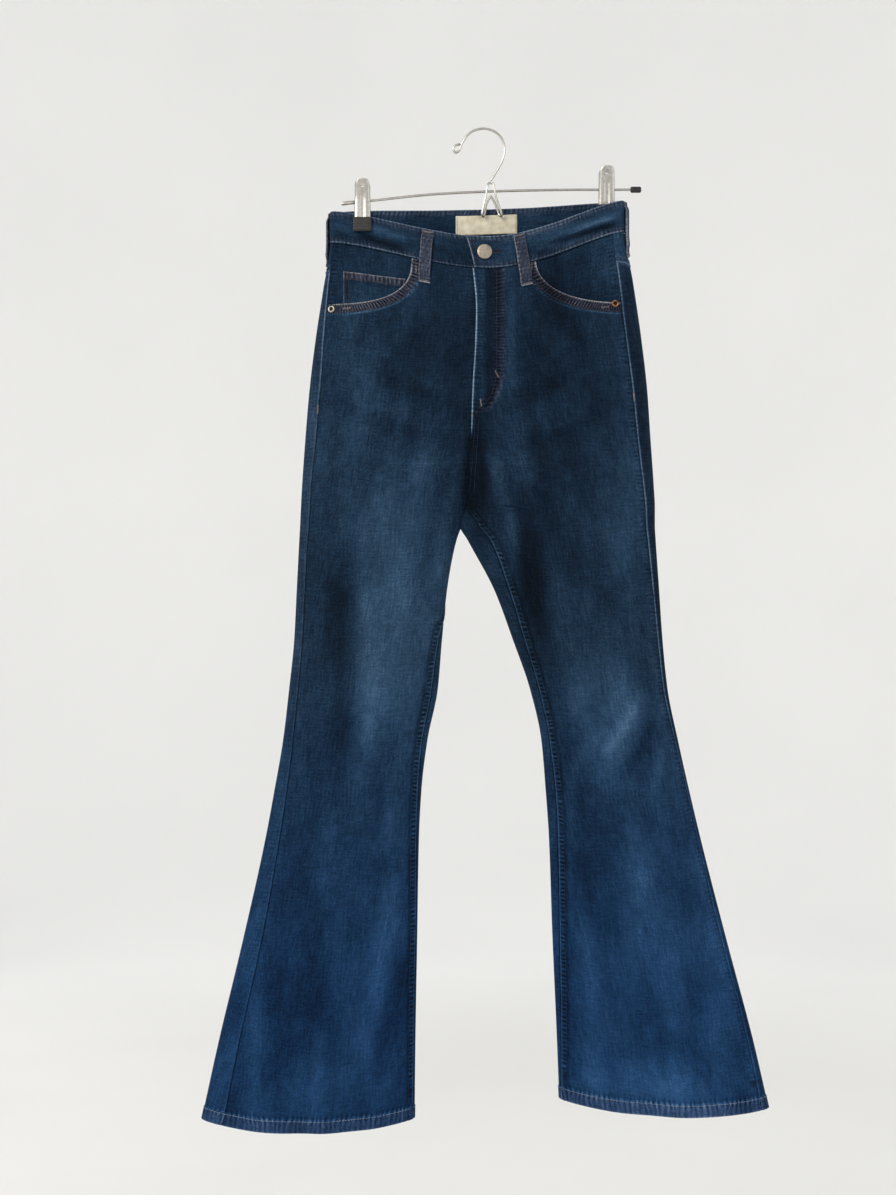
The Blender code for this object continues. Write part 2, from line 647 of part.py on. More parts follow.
def side_belt_loop(loop, material, collection):
    """A belt loop that bends round the outer fold."""
    half = HALVES[loop.side]
    across, _, height, out = loop_grid(5)
    distance = across * LOOP_WIDTH - loop.behind
    angle = np.stack([half.angle_round_fold(d, h[0]) for d, h in zip(distance, height)])
    normals = half.normal(angle, height)
    outside = half.point(angle, height) + normals * out[..., None]
    return wall(loop.name, outside, normals, LOOP_WALL, material, collection)


def label(material, collection):
    """A woven label on the inside of the back waistband."""
    across, down = np.meshgrid(even(-0.5, 0.5, 5), even(0.0, 1.0, 2))
    x = LABEL_CENTRE + across * LABEL_WIDTH
    height = LABEL_TOP - down * LABEL_HEIGHT
    return torso_patch("label", x, height, "back", -(BAND_WALL + GAP), LABEL_WALL,
                       material, collection)


def fly_strip(name, width, top, bottom, depth, thickness, rows, material, collection):
    """A strip behind the fly, centred on the zip's line."""
    across, down = np.meshgrid(even(-0.5, 0.5, 3), even(0.0, 1.0, rows))
    height = top + (bottom - top) * down
    x = HALVES["right"].read("inner", height) + ZIP_AWAY + across * width
    return torso_patch(name, x, height, "front", -depth, thickness, material, collection)


def fly_zip(tape_material, metal_material, collection):
    """Tape, closed teeth as one chain, and the slider with its pull lying down."""
    fly_strip("zip_tape", ZIP_TAPE_WIDTH, ZIP_TOP, ZIP_BOTTOM, ZIP_TAPE_DEPTH, TAPE_WALL, 8,
              tape_material, collection)
    chain_top = ZIP_TOP - ZIP_SLIDER[1] - 2 * GAP
    fly_strip("zip_chain", ZIP_CHAIN_WIDTH, chain_top, ZIP_BOTTOM + 4, ZIP_CHAIN_DEPTH, 1.3, 8,
              metal_material, collection)
    body = fly_strip("zip_slider", ZIP_SLIDER[0], ZIP_TOP, ZIP_TOP - ZIP_SLIDER[1],
                     ZIP_PULL_DEPTH, 2.8, 3, metal_material, collection)
    pull = fly_strip("zip_pull_cut", ZIP_PULL[0], ZIP_TOP - 3, ZIP_TOP - ZIP_PULL[1],
                     ZIP_PULL_DEPTH + 0.05, 1.0, 4, metal_material, collection)
    union = body.modifiers.new("pull", "BOOLEAN")
    union.operation = "UNION"
    union.object = pull
    return pull


# ---------------------------------------------------------------- cutters

def mouth_cutter(side, collection):
    """A prism through the front, bounded by the pocket mouth's superellipse."""
    mouth = POCKET_MOUTHS[side]
    beyond = -30.0 if side == "right" else 30.0
    angle = even(0.0, math.pi / 2, 15)
    x = mouth.corner + mouth.reach * np.cos(angle) ** (2 / mouth.power)
    z = MOUTH_TOP[side] - mouth.drop * np.sin(angle) ** (2 / mouth.power)
    outline = [*zip(x, z), (mouth.corner + beyond, MOUTH_TOP[side] - mouth.drop),
               (mouth.corner + beyond, MOUTH_TOP[side] + 60), (x[0], MOUTH_TOP[side] + 60)]
    curve = bpy.data.curves.new(f"mouth_{side}", "CURVE")
    curve.dimensions = "2D"
    curve.fill_mode = "BOTH"
    curve.extrude = 40 * MM
    spline = curve.splines.new("POLY")
    spline.points.add(len(outline) - 1)
    for point, (px, pz) in zip(spline.points, outline):
        point.co = (px * MM, pz * MM, 0.0, 1.0)
    spline.use_cyclic_u = True
    guide = bpy.data.objects.new(f"mouth_{side}", curve)
    guide.matrix_world = Matrix.Translation((0, -35 * MM, 0)) @ Matrix.Rotation(math.pi / 2, 4, "X")
    return as_mesh(guide, collection)


def as_mesh(guide, collection):
    """A curve object made a closed mesh, in place of it."""
    bpy.context.scene.collection.objects.link(guide)
    bpy.context.view_layer.update()
    graph = bpy.context.evaluated_depsgraph_get()
    mesh = bpy.data.meshes.new_from_object(guide.evaluated_get(graph))
    mesh.transform(guide.matrix_world)
    weld(mesh)
    obj = bpy.data.objects.new(guide.name + "_solid", mesh)
    collection.objects.link(obj)
    bpy.data.objects.remove(guide)
    return obj


def weld(mesh):
    """Joins a curve's caps to its sides and turns every face outwards."""
    work = bmesh.new()
    work.from_mesh(mesh)
    bmesh.ops.remove_doubles(work, verts=work.verts, dist=1e-6)
    bmesh.ops.recalc_face_normals(work, faces=work.faces)
    work.to_mesh(mesh)
    work.free()


def cut(obj, cutter):
    cutter.hide_render = True
    cutter.display_type = "WIRE"
    modifier = obj.modifiers.new(cutter.name, "BOOLEAN")
    modifier.operation = "DIFFERENCE"
    modifier.object = cutter


# ---------------------------------------------------------------- metal trims

def turned(name, profile, place, normal, material, collection):
    """A profile of (radius, height) turned about the normal at a place, in mm."""
    mesh = bpy.data.meshes.new(name)
    points = [(r * MM, 0.0, h * MM) for r, h in profile]
    mesh.from_pydata(points, [(i, i + 1) for i in range(len(points) - 1)], [])
    obj = bpy.data.objects.new(name, mesh)
    collection.objects.link(obj)
    obj.location = Vector(place) * MM
    obj.rotation_euler = Vector(normal).to_track_quat("Z", "Y").to_euler()
    screw = obj.modifiers.new("turn", "SCREW")
    screw.steps = screw.render_steps = TRIM_SIDES
    screw.use_merge_vertices = True
    screw.merge_threshold = 0.00001
    mesh.materials.append(material)
    return obj


def on_front(x, height, out):
    """A place standing off the front of the hip, and the way out there."""
    points, normals = on_torso(np.array([[x]]), np.array([[height]]), "front")
    return points[0, 0] + normals[0, 0] * out, normals[0, 0]


def button(material, collection):
    place, normal = on_front(*BUTTON_PLACE, GAP)
    r, h = BUTTON_RADIUS, BUTTON_HEIGHT
    profile = [(0, h), (r * 0.80, h), (r * 0.94, h - 0.3), (r, h - 0.9), (r * 0.97, h - 1.4),
               (r * 0.5, h - 1.6), (r * 0.42, 0), (0, 0)]
    return turned("button", profile, place, normal, material, collection)


def rivet(side, material, collection):
    place, normal = on_front(*RIVET_PLACES[side], GAP)
    r, h = RIVET_RADIUS, RIVET_HEIGHT
    profile = [(0, h * 0.9), (r * 0.25, h * 0.9), (r * 0.4, h * 0.45), (r * 0.6, h * 0.55),
               (r * 0.75, h), (r * 0.92, h * 0.8), (r, h * 0.3), (r, 0), (0, 0)]
    return turned(f"rivet_{side}", profile, place, normal, material, collection)


# ---------------------------------------------------------------- hanger

def smooth_route(route, count):
    """Points read from a Catmull-Rom curve through a route's own points."""
    route = np.asarray(route, float)
    ends = np.concatenate([[2 * route[0] - route[1]], route, [2 * route[-1] - route[-2]]])
    at = even(0.0, len(route) - 1, count)
    i = np.minimum(at.astype(int), len(route) - 2)
    t = (at - i)[:, None]
    a, b, c, d = ends[i], ends[i + 1], ends[i + 2], ends[i + 3]
    return 0.5 * (2 * b + (c - a) * t + (2 * a - 5 * b + 4 * c - d) * t ** 2
                  + (3 * b - a - 3 * c + d) * t ** 3)


def wire(name, points, radius, material, collection, closed=False):
    """A round wire along points in mm."""
    curve = bpy.data.curves.new(name, "CURVE")
    curve.dimensions = "3D"
    curve.bevel_depth = radius * MM
    curve.bevel_resolution = 2
    curve.use_fill_caps = not closed
    spline = curve.splines.new("POLY")
    spline.points.add(len(points) - 1)
    for target, point in zip(spline.points, points):
        target.co = (*(np.asarray(point) * MM), 1.0)
    spline.use_cyclic_u = closed
    curve.materials.append(material)
    obj = bpy.data.objects.new(name, curve)
    collection.objects.link(obj)
    return obj


def in_hanger_plane(route):
    return [(x, 0.0, z) for x, z in route]


def hanger_wires(steel, rubber, collection):
    wire("hanger_hook", smooth_route(in_hanger_plane(HOOK_ROUTE), 65), HOOK_WIRE, steel, collection)
    wire("hanger_rod", smooth_route(in_hanger_plane(ROD_ROUTE), 31), ROD_WIRE, steel, collection)
    loop = [(x, y, z) for x, z, y in SADDLE_ROUTE]
    closed = smooth_route([*loop, loop[0]], 64)[:-1]
    wire("hanger_saddle", closed, HOOK_WIRE, steel, collection, closed=True)
    for name, (start, end, radius) in ROD_TIPS.items():
        material = rubber if name == "rod_tip_left" else steel
        rod_tip(name, start, end, radius, material, collection)


def rod_tip(name, start, end, radius, material, collection):
    """A round-ended sleeve beyond the rod's end."""
    start, end = (np.array([x, 0.0, z]) for x, z in (start, end))
    length = float(np.linalg.norm(end - start))
    profile = [(0, length), (radius * 0.7, length), (radius, length - radius * 0.4),
               (radius, radius * 0.4), (radius * 0.7, 0), (0, 0)]
    turned(name, profile, start, end - start, material, collection)


def clip_plate(clip, face, material, collection):
    """A pressed plate with its long edges turned in, from the rounded top to the jaw."""
    towards = -1.0 if face == "front" else 1.0
    cloth = clip.front_face if face == "front" else clip.back_face
    bottom = clip.top - CLIP_LENGTH + CLIP_JAW[2] + GAP
    jaw_out = abs(cloth) + GAP + CLIP_JAW[1] * 0.5 + CLIP_PLATE_WALL / 2
    down = np.array([0.0, 0.03, 0.08, 0.16, 0.30, 0.50, 0.70, 0.88, 1.0])
    across = np.array([-1.0, -0.92, -0.70, -0.35, 0.0, 0.35, 0.70, 0.92, 1.0])
    rounding = np.sqrt(1 - (1 - np.clip(down / 0.16, 0, 1)) ** 2) * 0.62 + 0.38
    rod_share = (clip.top - clip.rod_height) / (clip.top - bottom)
    out = smooth_table(down, [0.0, rod_share, 1.0], [11.0, 6.4, jaw_out])
    half = CLIP_PLATE_WIDTH / 2 * rounding * (1 + 0.12 * down)
    x = clip.along + across[None, :] * half[:, None]
    turned_in = CLIP_PLATE_LIP * np.abs(across) ** 4
    y = towards * (out[:, None] - turned_in[None, :])
    z = np.broadcast_to((clip.top + (bottom - clip.top) * down)[:, None], x.shape)
    points = np.stack([x, y, z], axis=-1)
    normals = np.gradient(points, axis=1), np.gradient(points, axis=0)
    out_way = np.cross(*normals)
    out_way /= np.linalg.norm(out_way, axis=-1, keepdims=True)
    out_way *= np.sign(out_way[..., 1:2] * towards)
    return wall(f"clip_{clip.name}_{face}_plate", points, out_way, CLIP_PLATE_WALL, material,
                collection)


def clip_jaw(clip, face, material, collection):
    """A rubber shoe on the plate's end, pressed against the cloth."""
    towards = -1.0 if face == "front" else 1.0
    cloth = clip.front_face if face == "front" else clip.back_face
    width, depth, height = CLIP_JAW
    middle = (clip.along, cloth + towards * (GAP + depth / 2), clip.top - CLIP_LENGTH + height / 2)
    bpy.ops.mesh.primitive_cube_add(size=1.0)
    shoe = bpy.context.object
    shoe.name = shoe.data.name = f"clip_{clip.name}_{face}_jaw"
    shoe.data.transform(Matrix.Diagonal((width * MM, depth * MM, height * MM, 1.0)))
    shoe.location = Vector(middle) * MM
    bevel = shoe.modifiers.new("soft_edges", "BEVEL")
    bevel.width = 0.9 * MM
    bevel.segments = 2
    for owner in list(shoe.users_collection):
        owner.objects.unlink(shoe)
    collection.objects.link(shoe)
    shoe.data.materials.append(material)
    return shoe


def clip_spring(clip, material, collection):
    """The spring's coil, as a plain barrel round the rod."""
    r, b, length = SPRING_RADIUS, SPRING_BORE, SPRING_LENGTH
    profile = [(r, length), (r, 0), (b, 0), (b, length), (r, length)]
    start = (clip.along - length / 2, 0.0, clip.rod_height)
    slope = rod_slope(clip.along)
    place = (start[0], 0.0, start[2] - slope * length / 2)
    return turned(f"clip_{clip.name}_spring", profile, place, (1.0, 0.0, slope), material,
                  collection)


def rod_slope(along):
    """How steeply the rod runs at a place along X."""
    points = smooth_route(ROD_ROUTE, 121)
    return float(np.interp(along, points[:, 0], np.gradient(points[:, 1], points[:, 0])))


# ---------------------------------------------------------------- the whole

def main():
    clear_scene()
    jeans = make_collection("flared_jeans")
    cutters = make_collection("cutters", shown=False)
    denim = make_material("denim", DENIM_COLOUR, 0.85)
    faded = make_material("denim_trim", DENIM_FADED, 0.85)
    steel = make_material("bright_steel", STEEL_COLOUR, 0.25, 1.0)
    nickel = make_material("brushed_nickel", NICKEL_COLOUR, 0.40, 1.0)
    copper = make_material("aged_copper", COPPER_COLOUR, 0.40, 1.0)
    silver = make_material("aged_silver", SILVER_COLOUR, 0.40, 1.0)
    rubber = make_material("black_rubber", RUBBER_COLOUR, 0.60)
    woven = make_material("woven_label", LABEL_COLOUR, 0.70)
    tape = make_material("zip_tape", TAPE_COLOUR, 0.80)

    for side in ("right", "left"):
        front = front_panel(side, denim, jeans)
        cut(front, mouth_cutter(side, cutters))
        back_panel(side, denim, jeans)
        yoke(side, denim, jeans)
        facing(side, denim, jeans)
        back_pocket(side, denim, jeans)
        rivet(side, silver if side == "right" else copper, jeans)
    waistband(denim, jeans)
    coin_pocket(faded, jeans)
    for loop in LOOPS:
        belt_loop(loop, faded, jeans)
    for loop in SIDE_LOOPS:
        side_belt_loop(loop, faded, jeans)
    button(nickel, jeans)
    label(woven, jeans)
    pull = fly_zip(tape, nickel, jeans)
    pull.hide_render = True
    pull.display_type = "WIRE"

    hanger_wires(steel, rubber, jeans)
    for clip in CLIPS:
        for face in ("front", "back"):
            clip_plate(clip, face, steel, jeans)
            clip_jaw(clip, face, rubber, jeans)
        clip_spring(clip, steel, jeans)


main()
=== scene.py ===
"""Flared five-pocket jeans on a wire clip hanger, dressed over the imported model.

Metres in Blender, millimetres in every table and formula here. The origin is the inside of the
crown of the hanger's hook, +Z is up and the front of the jeans faces -Y. "right" and "left" are
the wearer's, so the right leg is at -X.
"""

import logging
import math
from dataclasses import dataclass
from enum import Enum
from typing import NamedTuple, Sequence

import bpy
import numpy as np
from mathutils import Matrix, Vector


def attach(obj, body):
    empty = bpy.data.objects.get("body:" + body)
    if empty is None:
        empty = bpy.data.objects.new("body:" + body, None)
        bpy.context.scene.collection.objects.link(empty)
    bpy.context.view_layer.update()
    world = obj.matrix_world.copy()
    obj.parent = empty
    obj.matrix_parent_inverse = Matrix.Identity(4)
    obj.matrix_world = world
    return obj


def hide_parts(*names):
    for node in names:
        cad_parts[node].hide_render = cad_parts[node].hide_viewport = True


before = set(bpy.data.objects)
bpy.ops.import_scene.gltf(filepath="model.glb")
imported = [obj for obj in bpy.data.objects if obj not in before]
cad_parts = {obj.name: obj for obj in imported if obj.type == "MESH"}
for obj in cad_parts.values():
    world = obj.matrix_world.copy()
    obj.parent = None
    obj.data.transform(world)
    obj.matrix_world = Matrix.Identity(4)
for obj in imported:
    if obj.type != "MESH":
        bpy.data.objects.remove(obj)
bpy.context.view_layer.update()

LOG = logging.getLogger("flared_jeans")
Array = np.ndarray
Line = tuple[Array, Array]
Shape = tuple[Array, list[Array]]
Socket = bpy.types.NodeSocket
MM = 0.001
BODY = "root"
QUARTER, TURN = math.pi / 2, 2 * math.pi


class Face(Enum):
    """Which side of the jeans a thing lies on."""

    FRONT = "front"
    BACK = "back"


# ------------------------------------------------------------------ small numeric helpers

def smoothstep(x: Array | float) -> Array:
    """A smooth rise from 0 to 1: three x squared less two x cubed, held at its ends."""
    x = np.clip(x, 0.0, 1.0)
    return x * x * (3.0 - 2.0 * x)


def bell(x: Array | float) -> Array:
    """A bell curve over x in widths: e to the minus x squared, with 1 at x = 0."""
    return np.exp(-np.square(x))


def unit(vectors: Array) -> Array:
    """Vectors made one long; their last axis is X, Y, Z."""
    return vectors / np.maximum(np.linalg.norm(vectors, axis=-1, keepdims=True), 1e-9)


def smooth_table(x: Array | float, at: Array, values: Array) -> Array:
    """A monotone cubic through a table's rows, which never overshoots them.

    Args:
        x: Where to read it, held inside the table.
        at: The rows' keys, rising or falling.
        values: The rows' values.

    Returns:
        The values at x.
    """
    at, values = np.asarray(at, float), np.asarray(values, float)
    if at[0] > at[-1]:
        at, values = at[::-1], values[::-1]
    step = np.diff(at)
    slope = np.diff(values) / step
    tangent = np.zeros(len(at))
    same_way = slope[:-1] * slope[1:] > 0
    weight_a, weight_b = 2 * step[1:] + step[:-1], step[1:] + 2 * step[:-1]
    safe_a, safe_b = np.where(same_way, slope[:-1], 1.0), np.where(same_way, slope[1:], 1.0)
    mean = (weight_a + weight_b) / (weight_a / safe_a + weight_b / safe_b)
    tangent[1:-1] = np.where(same_way, mean, 0.0)
    tangent[0], tangent[-1] = slope[0], slope[-1]
    x = np.clip(np.asarray(x, float), at[0], at[-1])
    i = np.clip(np.searchsorted(at, x) - 1, 0, len(step) - 1)
    t = (x - at[i]) / step[i]
    rise = values[i + 1] - values[i]
    start, end = tangent[i] * step[i], tangent[i + 1] * step[i]
    return values[i] + t * (start + t * (3 * rise - 2 * start - end + t * (start + end - 2 * rise)))


def lengths(points: Array, axis: int) -> Array:
    """How far along a grid's lines each point lies, from the first.

    Args:
        points: A grid of points, (rows, columns, 3) or (count, 3).
        axis: The grid axis that the lines run along.

    Returns:
        Running lengths, in the shape of the grid.
    """
    steps = np.linalg.norm(np.diff(points, axis=axis), axis=-1)
    start = np.zeros_like(np.take(steps, [0], axis=axis))
    return np.concatenate([start, np.cumsum(steps, axis=axis)], axis=axis)


def catmull(route: Sequence, count: int) -> Array:
    """A Catmull-Rom curve through a route's points, as this many points.

    Args:
        route: The points it goes through.
        count: How many points to give.

    Returns:
        Points, (count, 3).
    """
    route = np.asarray(route, float)
    ends = np.concatenate([[2 * route[0] - route[1]], route, [2 * route[-1] - route[-2]]])
    at = np.linspace(0.0, len(route) - 1, count)
    i = np.minimum(at.astype(int), len(route) - 2)
    t = (at - i)[:, None]
    a, b, c, d = ends[i], ends[i + 1], ends[i + 2], ends[i + 3]
    return 0.5 * (2 * b + (c - a) * t + (2 * a - 5 * b + 4 * c - d) * t**2
                  + (3 * b - a - 3 * c + d) * t**3)


# ------------------------------------------------------------------ the jeans' form

# Rings of the jeans: height, then on the right and on the left half the places of the outer and
# inner folds along X and the insets of the side seam and the inseam, then front and back depths.
RINGS = (
    (-96, -180, -21, 3, 0, 164, -21, 14, 0, 30, 20),
    (-133, -180, -12, 3, 0, 164, -12, 14, 0, 30, 20),
    (-187, -188, -8, 6, 0, 174, -8, 17, 0, 31, 22),
    (-246, -197, -9, 10, 0, 184, -9, 19, 0, 31, 27),
    (-304, -204, -12, 13, 0, 191, -12, 18, 0, 30, 31),
    (-363, -209, -14, 13, 0, 195, -14, 16, 0, 28, 31),
    (-421, -213, -16.5, 11, 0, 199, -19, 13, 0, 26, 29),
    (-440, -214, -18.5, 11, 0, 200, -23.5, 12, 3, 25, 28),
    (-462, -215, -25.5, 11, -3, 200, -28.5, 11, 22, 24, 27),
    (-480, -216, -32, 10, -6, 201, -19, 10, 26, 24, 26),
    (-538, -219, -43, 10, -6, 205, 12, 8, 17, 23, 24),
    (-597, -222, -49, 10, 4, 209, 34, 6, 13, 22, 22),
    (-655, -228, -54, 11, 7, 215, 54, 5, 10, 20, 20),
    (-714, -235, -66, 12, 6, 227, 67, 4, 9, 19, 18),
    (-772, -245, -73, 15, 4, 240, 72, 3, 11, 19, 18),
    (-831, -256, -76, 17, 3, 254, 76, 4, 10, 20, 20),
    (-948, -282, -78, 22, 2, 284, 80, 6, 8, 23, 24),
    (-1065, -310, -80, 24, 2, 315, 85, 7, 5, 27, 28),
    (-1156, -330, -81, 26, 2, 333, 88, 9, 2, 30, 30),
)
# The clipped waist seen from above: places along X, then the depths of its middle, front and back.
WAIST = np.array((
    (-180, 0, -6, 6), (-168, 0, -6, 6), (-153, 0, -3.2, 3.2), (-131, 0, -3.2, 3.2),
    (-90, 0, -14, 5), (-45, 0, -33, 8), (0, 0, -42, 9), (50, -1, -40, 8), (100, -4, -29, 4),
    (131, -7, -22, 1.3), (155, -8, -18, 1.3), (164, -8, -16, 1.3))).T
# The largest folds, soft troughs: top, bottom, the line's share of the way from the outer to the
# inner fold at its start, middle and end, depth and width.
FOLDS = {
    ("right", Face.FRONT): (
        (-330, -860, 0.16, 0.17, 0.22, 3.0, 26), (-740, -1156, 0.30, 0.33, 0.47, 7.0, 30),
        (-960, -1156, 0.62, 0.65, 0.69, 5.0, 22)),
    ("left", Face.FRONT): (
        (-360, -620, 0.77, 0.80, 0.80, 4.0, 20), (-620, -790, 0.12, 0.30, 0.50, 3.0, 22),
        (-740, -1143, 0.84, 0.70, 0.58, 7.0, 30)),
    ("right", Face.BACK): (
        (-400, -720, 0.55, 0.45, 0.38, 3.5, 26), (-780, -1156, 0.62, 0.60, 0.52, 7.0, 32)),
    ("left", Face.BACK): (
        (-420, -760, 0.40, 0.50, 0.52, 3.5, 26), (-760, -1143, 0.30, 0.36, 0.40, 7.0, 32),
        (-930, -1143, 0.72, 0.74, 0.78, 4.0, 22)),
}
# Creases, ridges or, where the lift is negative, troughs: X and Z of both ends, how far the line
# bows between them, lift and width.
CREASES = {
    Face.FRONT: (
        # Drag from the clips across the waistband's front.
        (-160, -114, -80, -145, 3, -2.6, 4.5), (-150, -106, -74, -133, 3, 1.5, 5),
        (-182, -112, -140, -119, 1, 1.2, 4), (-186, -124, -120, -137, -2, -1.0, 5),
        (72, -142, 166, -111, -3, -2.8, 4), (84, -134, 164, -103, -3, 1.8, 4),
        (104, -122, 168, -97, 0, 1.2, 4.5), (30, -148, 90, -146, 2, -1.0, 6),
        # Hips: faint drag from the crotch towards the pockets.
        (-24, -330, -150, -262, -10, -1.4, 9), (-26, -362, -170, -318, -12, -1.3, 10),
        (-30, -392, -150, -372, -10, 1.0, 9), (6, -330, 120, -268, 10, -1.4, 9),
        (12, -372, 160, -322, 12, -1.4, 11), (74, -180, 118, -262, 6, -1.2, 10),
        (-70, -215, -112, -300, -6, -1.1, 12), (60, -226, 150, -212, 0, -0.9, 8),
        # Fine whiskers that wear leaves across the hips and below the fly.
        (66, -254, 132, -246, 3, 1.3, 2.2), (96, -290, 168, -272, 3, 1.1, 2.4),
        (60, -352, 110, -340, 2, 1.1, 2.2), (20, -300, 62, -286, 2, 1.2, 2.4),
        (-40, -306, -92, -282, -4, 1.1, 2.3), (-100, -268, -158, -256, -2, 1.2, 2.4),
        (-96, -330, -150, -322, -3, 1.0, 2.4), (-30, -350, -76, -356, 2, 1.2, 2.2),
        # The gully at the crotch, and the ridge and trough that run down the left thigh from it.
        (-8, -335, -18, -470, 2, -4.0, 7), (0, -360, 46, -520, -4, 3.6, 9),
        (22, -380, 66, -620, -6, -3.6, 12), (60, -420, 92, -640, -8, 1.6, 14),
        (-34, -400, -52, -560, 4, 2.4, 10), (-62, -420, -78, -660, 4, -1.4, 12),
        # The right leg's long soft band down its outer side.
        (-168, -430, -172, -840, -6, -2.2, 15), (-140, -500, -138, -760, -4, 1.4, 14),
        (-110, -610, -126, -790, 3, -1.1, 10), (-92, -700, -116, -860, 3, 1.2, 9),
        # The left knee's diagonal drag.
        (188, -650, 130, -742, -5, 3.6, 8), (200, -682, 156, -762, -5, -3.0, 8),
        (150, -628, 100, -728, -5, -1.9, 12), (214, -700, 182, -800, -4, 1.8, 9),
        (112, -720, 96, -800, 2, 1.2, 8),
        # Flares.
        (166, -780, 232, -1080, 8, 2.8, 20), (118, -880, 134, -1160, 4, 2.2, 14),
        (236, -960, 268, -1160, 3, -1.6, 13), (-254, -930, -266, -1190, 4, 2.4, 12),
        (-196, -1020, -188, -1190, 2, 2.2, 13), (-74, -930, -138, -1180, 8, -3.2, 13),
        (-140, -1030, -128, -1190, -3, 2.0, 11), (-108, -860, -96, -960, 2, 1.2, 10)),
    Face.BACK: (
        # Below the yoke, under the seat, behind the knees and down the flares.
        (-30, -340, -150, -300, 8, -1.6, 10), (-26, -400, -180, -372, 10, -2.4, 10),
        (-40, -430, -150, -412, 8, 1.6, 9), (10, -336, 130, -306, -8, -1.6, 10),
        (6, -404, 150, -380, -12, -2.4, 11), (30, -440, 150, -424, -8, 1.5, 9),
        (-14, -300, -18, -440, 0, -3.2, 8), (-190, -610, -90, -650, 6, -2.6, 8),
        (-206, -660, -110, -690, 5, -2.0, 9), (-196, -634, -100, -670, 5, 1.9, 7),
        (190, -604, 90, -650, -6, -2.4, 8), (200, -652, 110, -700, -5, -2.2, 9),
        (196, -626, 100, -674, -5, 1.8, 7), (-150, -820, -168, -1180, -6, 2.4, 16),
        (-260, -940, -280, -1180, 3, 2.0, 14), (150, -820, 132, -1160, 5, 2.4, 16),
        (240, -900, 262, -1160, 3, 2.2, 16)),
}
# Soft ovals of wear, and of painted shade in deep folds and painted light on lit ridges: X and Z
# of the middle, half width, half height, and how much lighter or, where negative, darker.
WEAR_AND_SHADE = {
    Face.FRONT: (
        (176, -120, 26, 40, 0.08), (114, -130, 60, 16, 0.12), (-128, -172, 40, 14, 0.03),
        (-130, -202, 30, 12, 0.04), (140, -170, 20, 24, 0.16), (84, -186, 22, 26, -0.13),
        (100, -275, 62, 70, -0.10), (-26, -250, 24, 90, -0.085), (-70, -270, 16, 60, -0.07),
        (-146, -300, 22, 90, 0.09), (30, -245, 6, 60, 0.12), (58, -250, 14, 50, -0.06),
        (150, -300, 30, 50, 0.06), (-20, -370, 18, 60, -0.06), (-120, -260, 50, 50, -0.05),
        (-90, -350, 40, 40, -0.04), (-106, -470, 42, 120, 0.13), (-76, -560, 24, 90, 0.08),
        (-122, -640, 54, 110, 0.16), (-192, -380, 14, 90, 0.05), (-178, -500, 16, 130, -0.02),
        (-172, -650, 20, 140, -0.06), (-5, -405, 12, 60, -0.24), (34, -460, 11, 60, 0.08),
        (62, -515, 26, 130, -0.14), (110, -470, 40, 120, -0.05), (166, -470, 20, 100, 0.12),
        (150, -700, 40, 62, 0.19), (134, -630, 40, 70, 0.08), (96, -770, 26, 60, -0.02),
        (150, -860, 34, 80, -0.03), (205, -840, 20, 90, 0.08), (-150, -820, 50, 80, 0.02),
        (-226, -1010, 50, 110, -0.07), (-118, -980, 18, 110, 0.13), (183, -1010, 50, 90, 0.02),
        (262, -1000, 30, 110, 0.12), (-190, -1142, 90, 30, 0.02), (200, -1120, 100, 34, 0.15)),
    Face.BACK: (
        (-96, -330, 60, 60, 0.16), (84, -330, 60, 60, 0.16), (-120, -480, 56, 120, 0.10),
        (120, -480, 56, 120, 0.10), (-150, -690, 50, 90, -0.06), (150, -690, 50, 90, -0.06),
        (-12, -400, 20, 70, -0.12), (-200, -1120, 110, 40, 0.10), (200, -1120, 110, 40, 0.10)),
}
# Crumple: each wave's turns of phase per mm along X and Z, its start and its size in mm.
WAVES = ((0.057, 0.013, 0.3, 0.30), (-0.041, 0.031, 1.7, 0.28), (0.093, 0.021, 4.1, 0.16),
         (0.071, -0.052, 2.2, 0.14), (-0.128, 0.033, 5.0, 0.08), (0.021, 0.067, 0.9, 0.16))


@dataclass(frozen=True)
class Form:
    """The heights and measures that the whole garment shares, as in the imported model."""

    band_top: float = -96.0
    band_bottom: float = -133.0
    panel_top: float = -133.6
    closing_starts: float = -300.0
    crotch: float = -440.0
    waist_shape_ends: float = -250.0
    droop_ends: float = -300.0
    front_droop: float = 41.0
    back_droop: float = 2.0
    droop_skew: float = 1.15
    droop_power: float = 1.5
    tilt: float = 11.0
    fold_power: float = 2.2
    waist_fold_radius: float = 6.0
    hem_depth: float = 15.0
    seam_gap: float = 0.3
    denim: float = 1.5


FORM = Form()


def crease_relief(x: Array, z: Array, front: Array) -> Array:
    """How far the creases lift the cloth.

    Each adds a bell across its line, which bows as a parabola, and fades at both ends.

    Args:
        x: Places along X, in mm.
        z: True heights, in mm.
        front: True where the place is on the front.

    Returns:
        The lift away from the cloth's own form, in mm.
    """
    total = np.zeros(np.shape(x))
    for face, creases in CREASES.items():
        here = front == (face is Face.FRONT)
        for x0, z0, x1, z1, bow, lift, width in creases:
            dx, dz = x1 - x0, z1 - z0
            length = math.hypot(dx, dz)
            along = ((x - x0) * dx + (z - z0) * dz) / length**2
            off = ((x - x0) * dz - (z - z0) * dx) / length
            off = off - bow * 4.0 * along * (1.0 - along)
            ends = smoothstep(along / 0.3) * smoothstep((1.0 - along) / 0.3)
            total += np.where(here, lift * ends * bell(off / width), 0.0)
    return total


def crumple(x: Array, z: Array) -> Array:
    """Cloth is never quite even: crossing sine waves, 30 to 110 mm long, lift it by 0.8 mm."""
    return sum(size * np.sin(a * x + b * z + turn) for a, b, turn, size in WAVES)


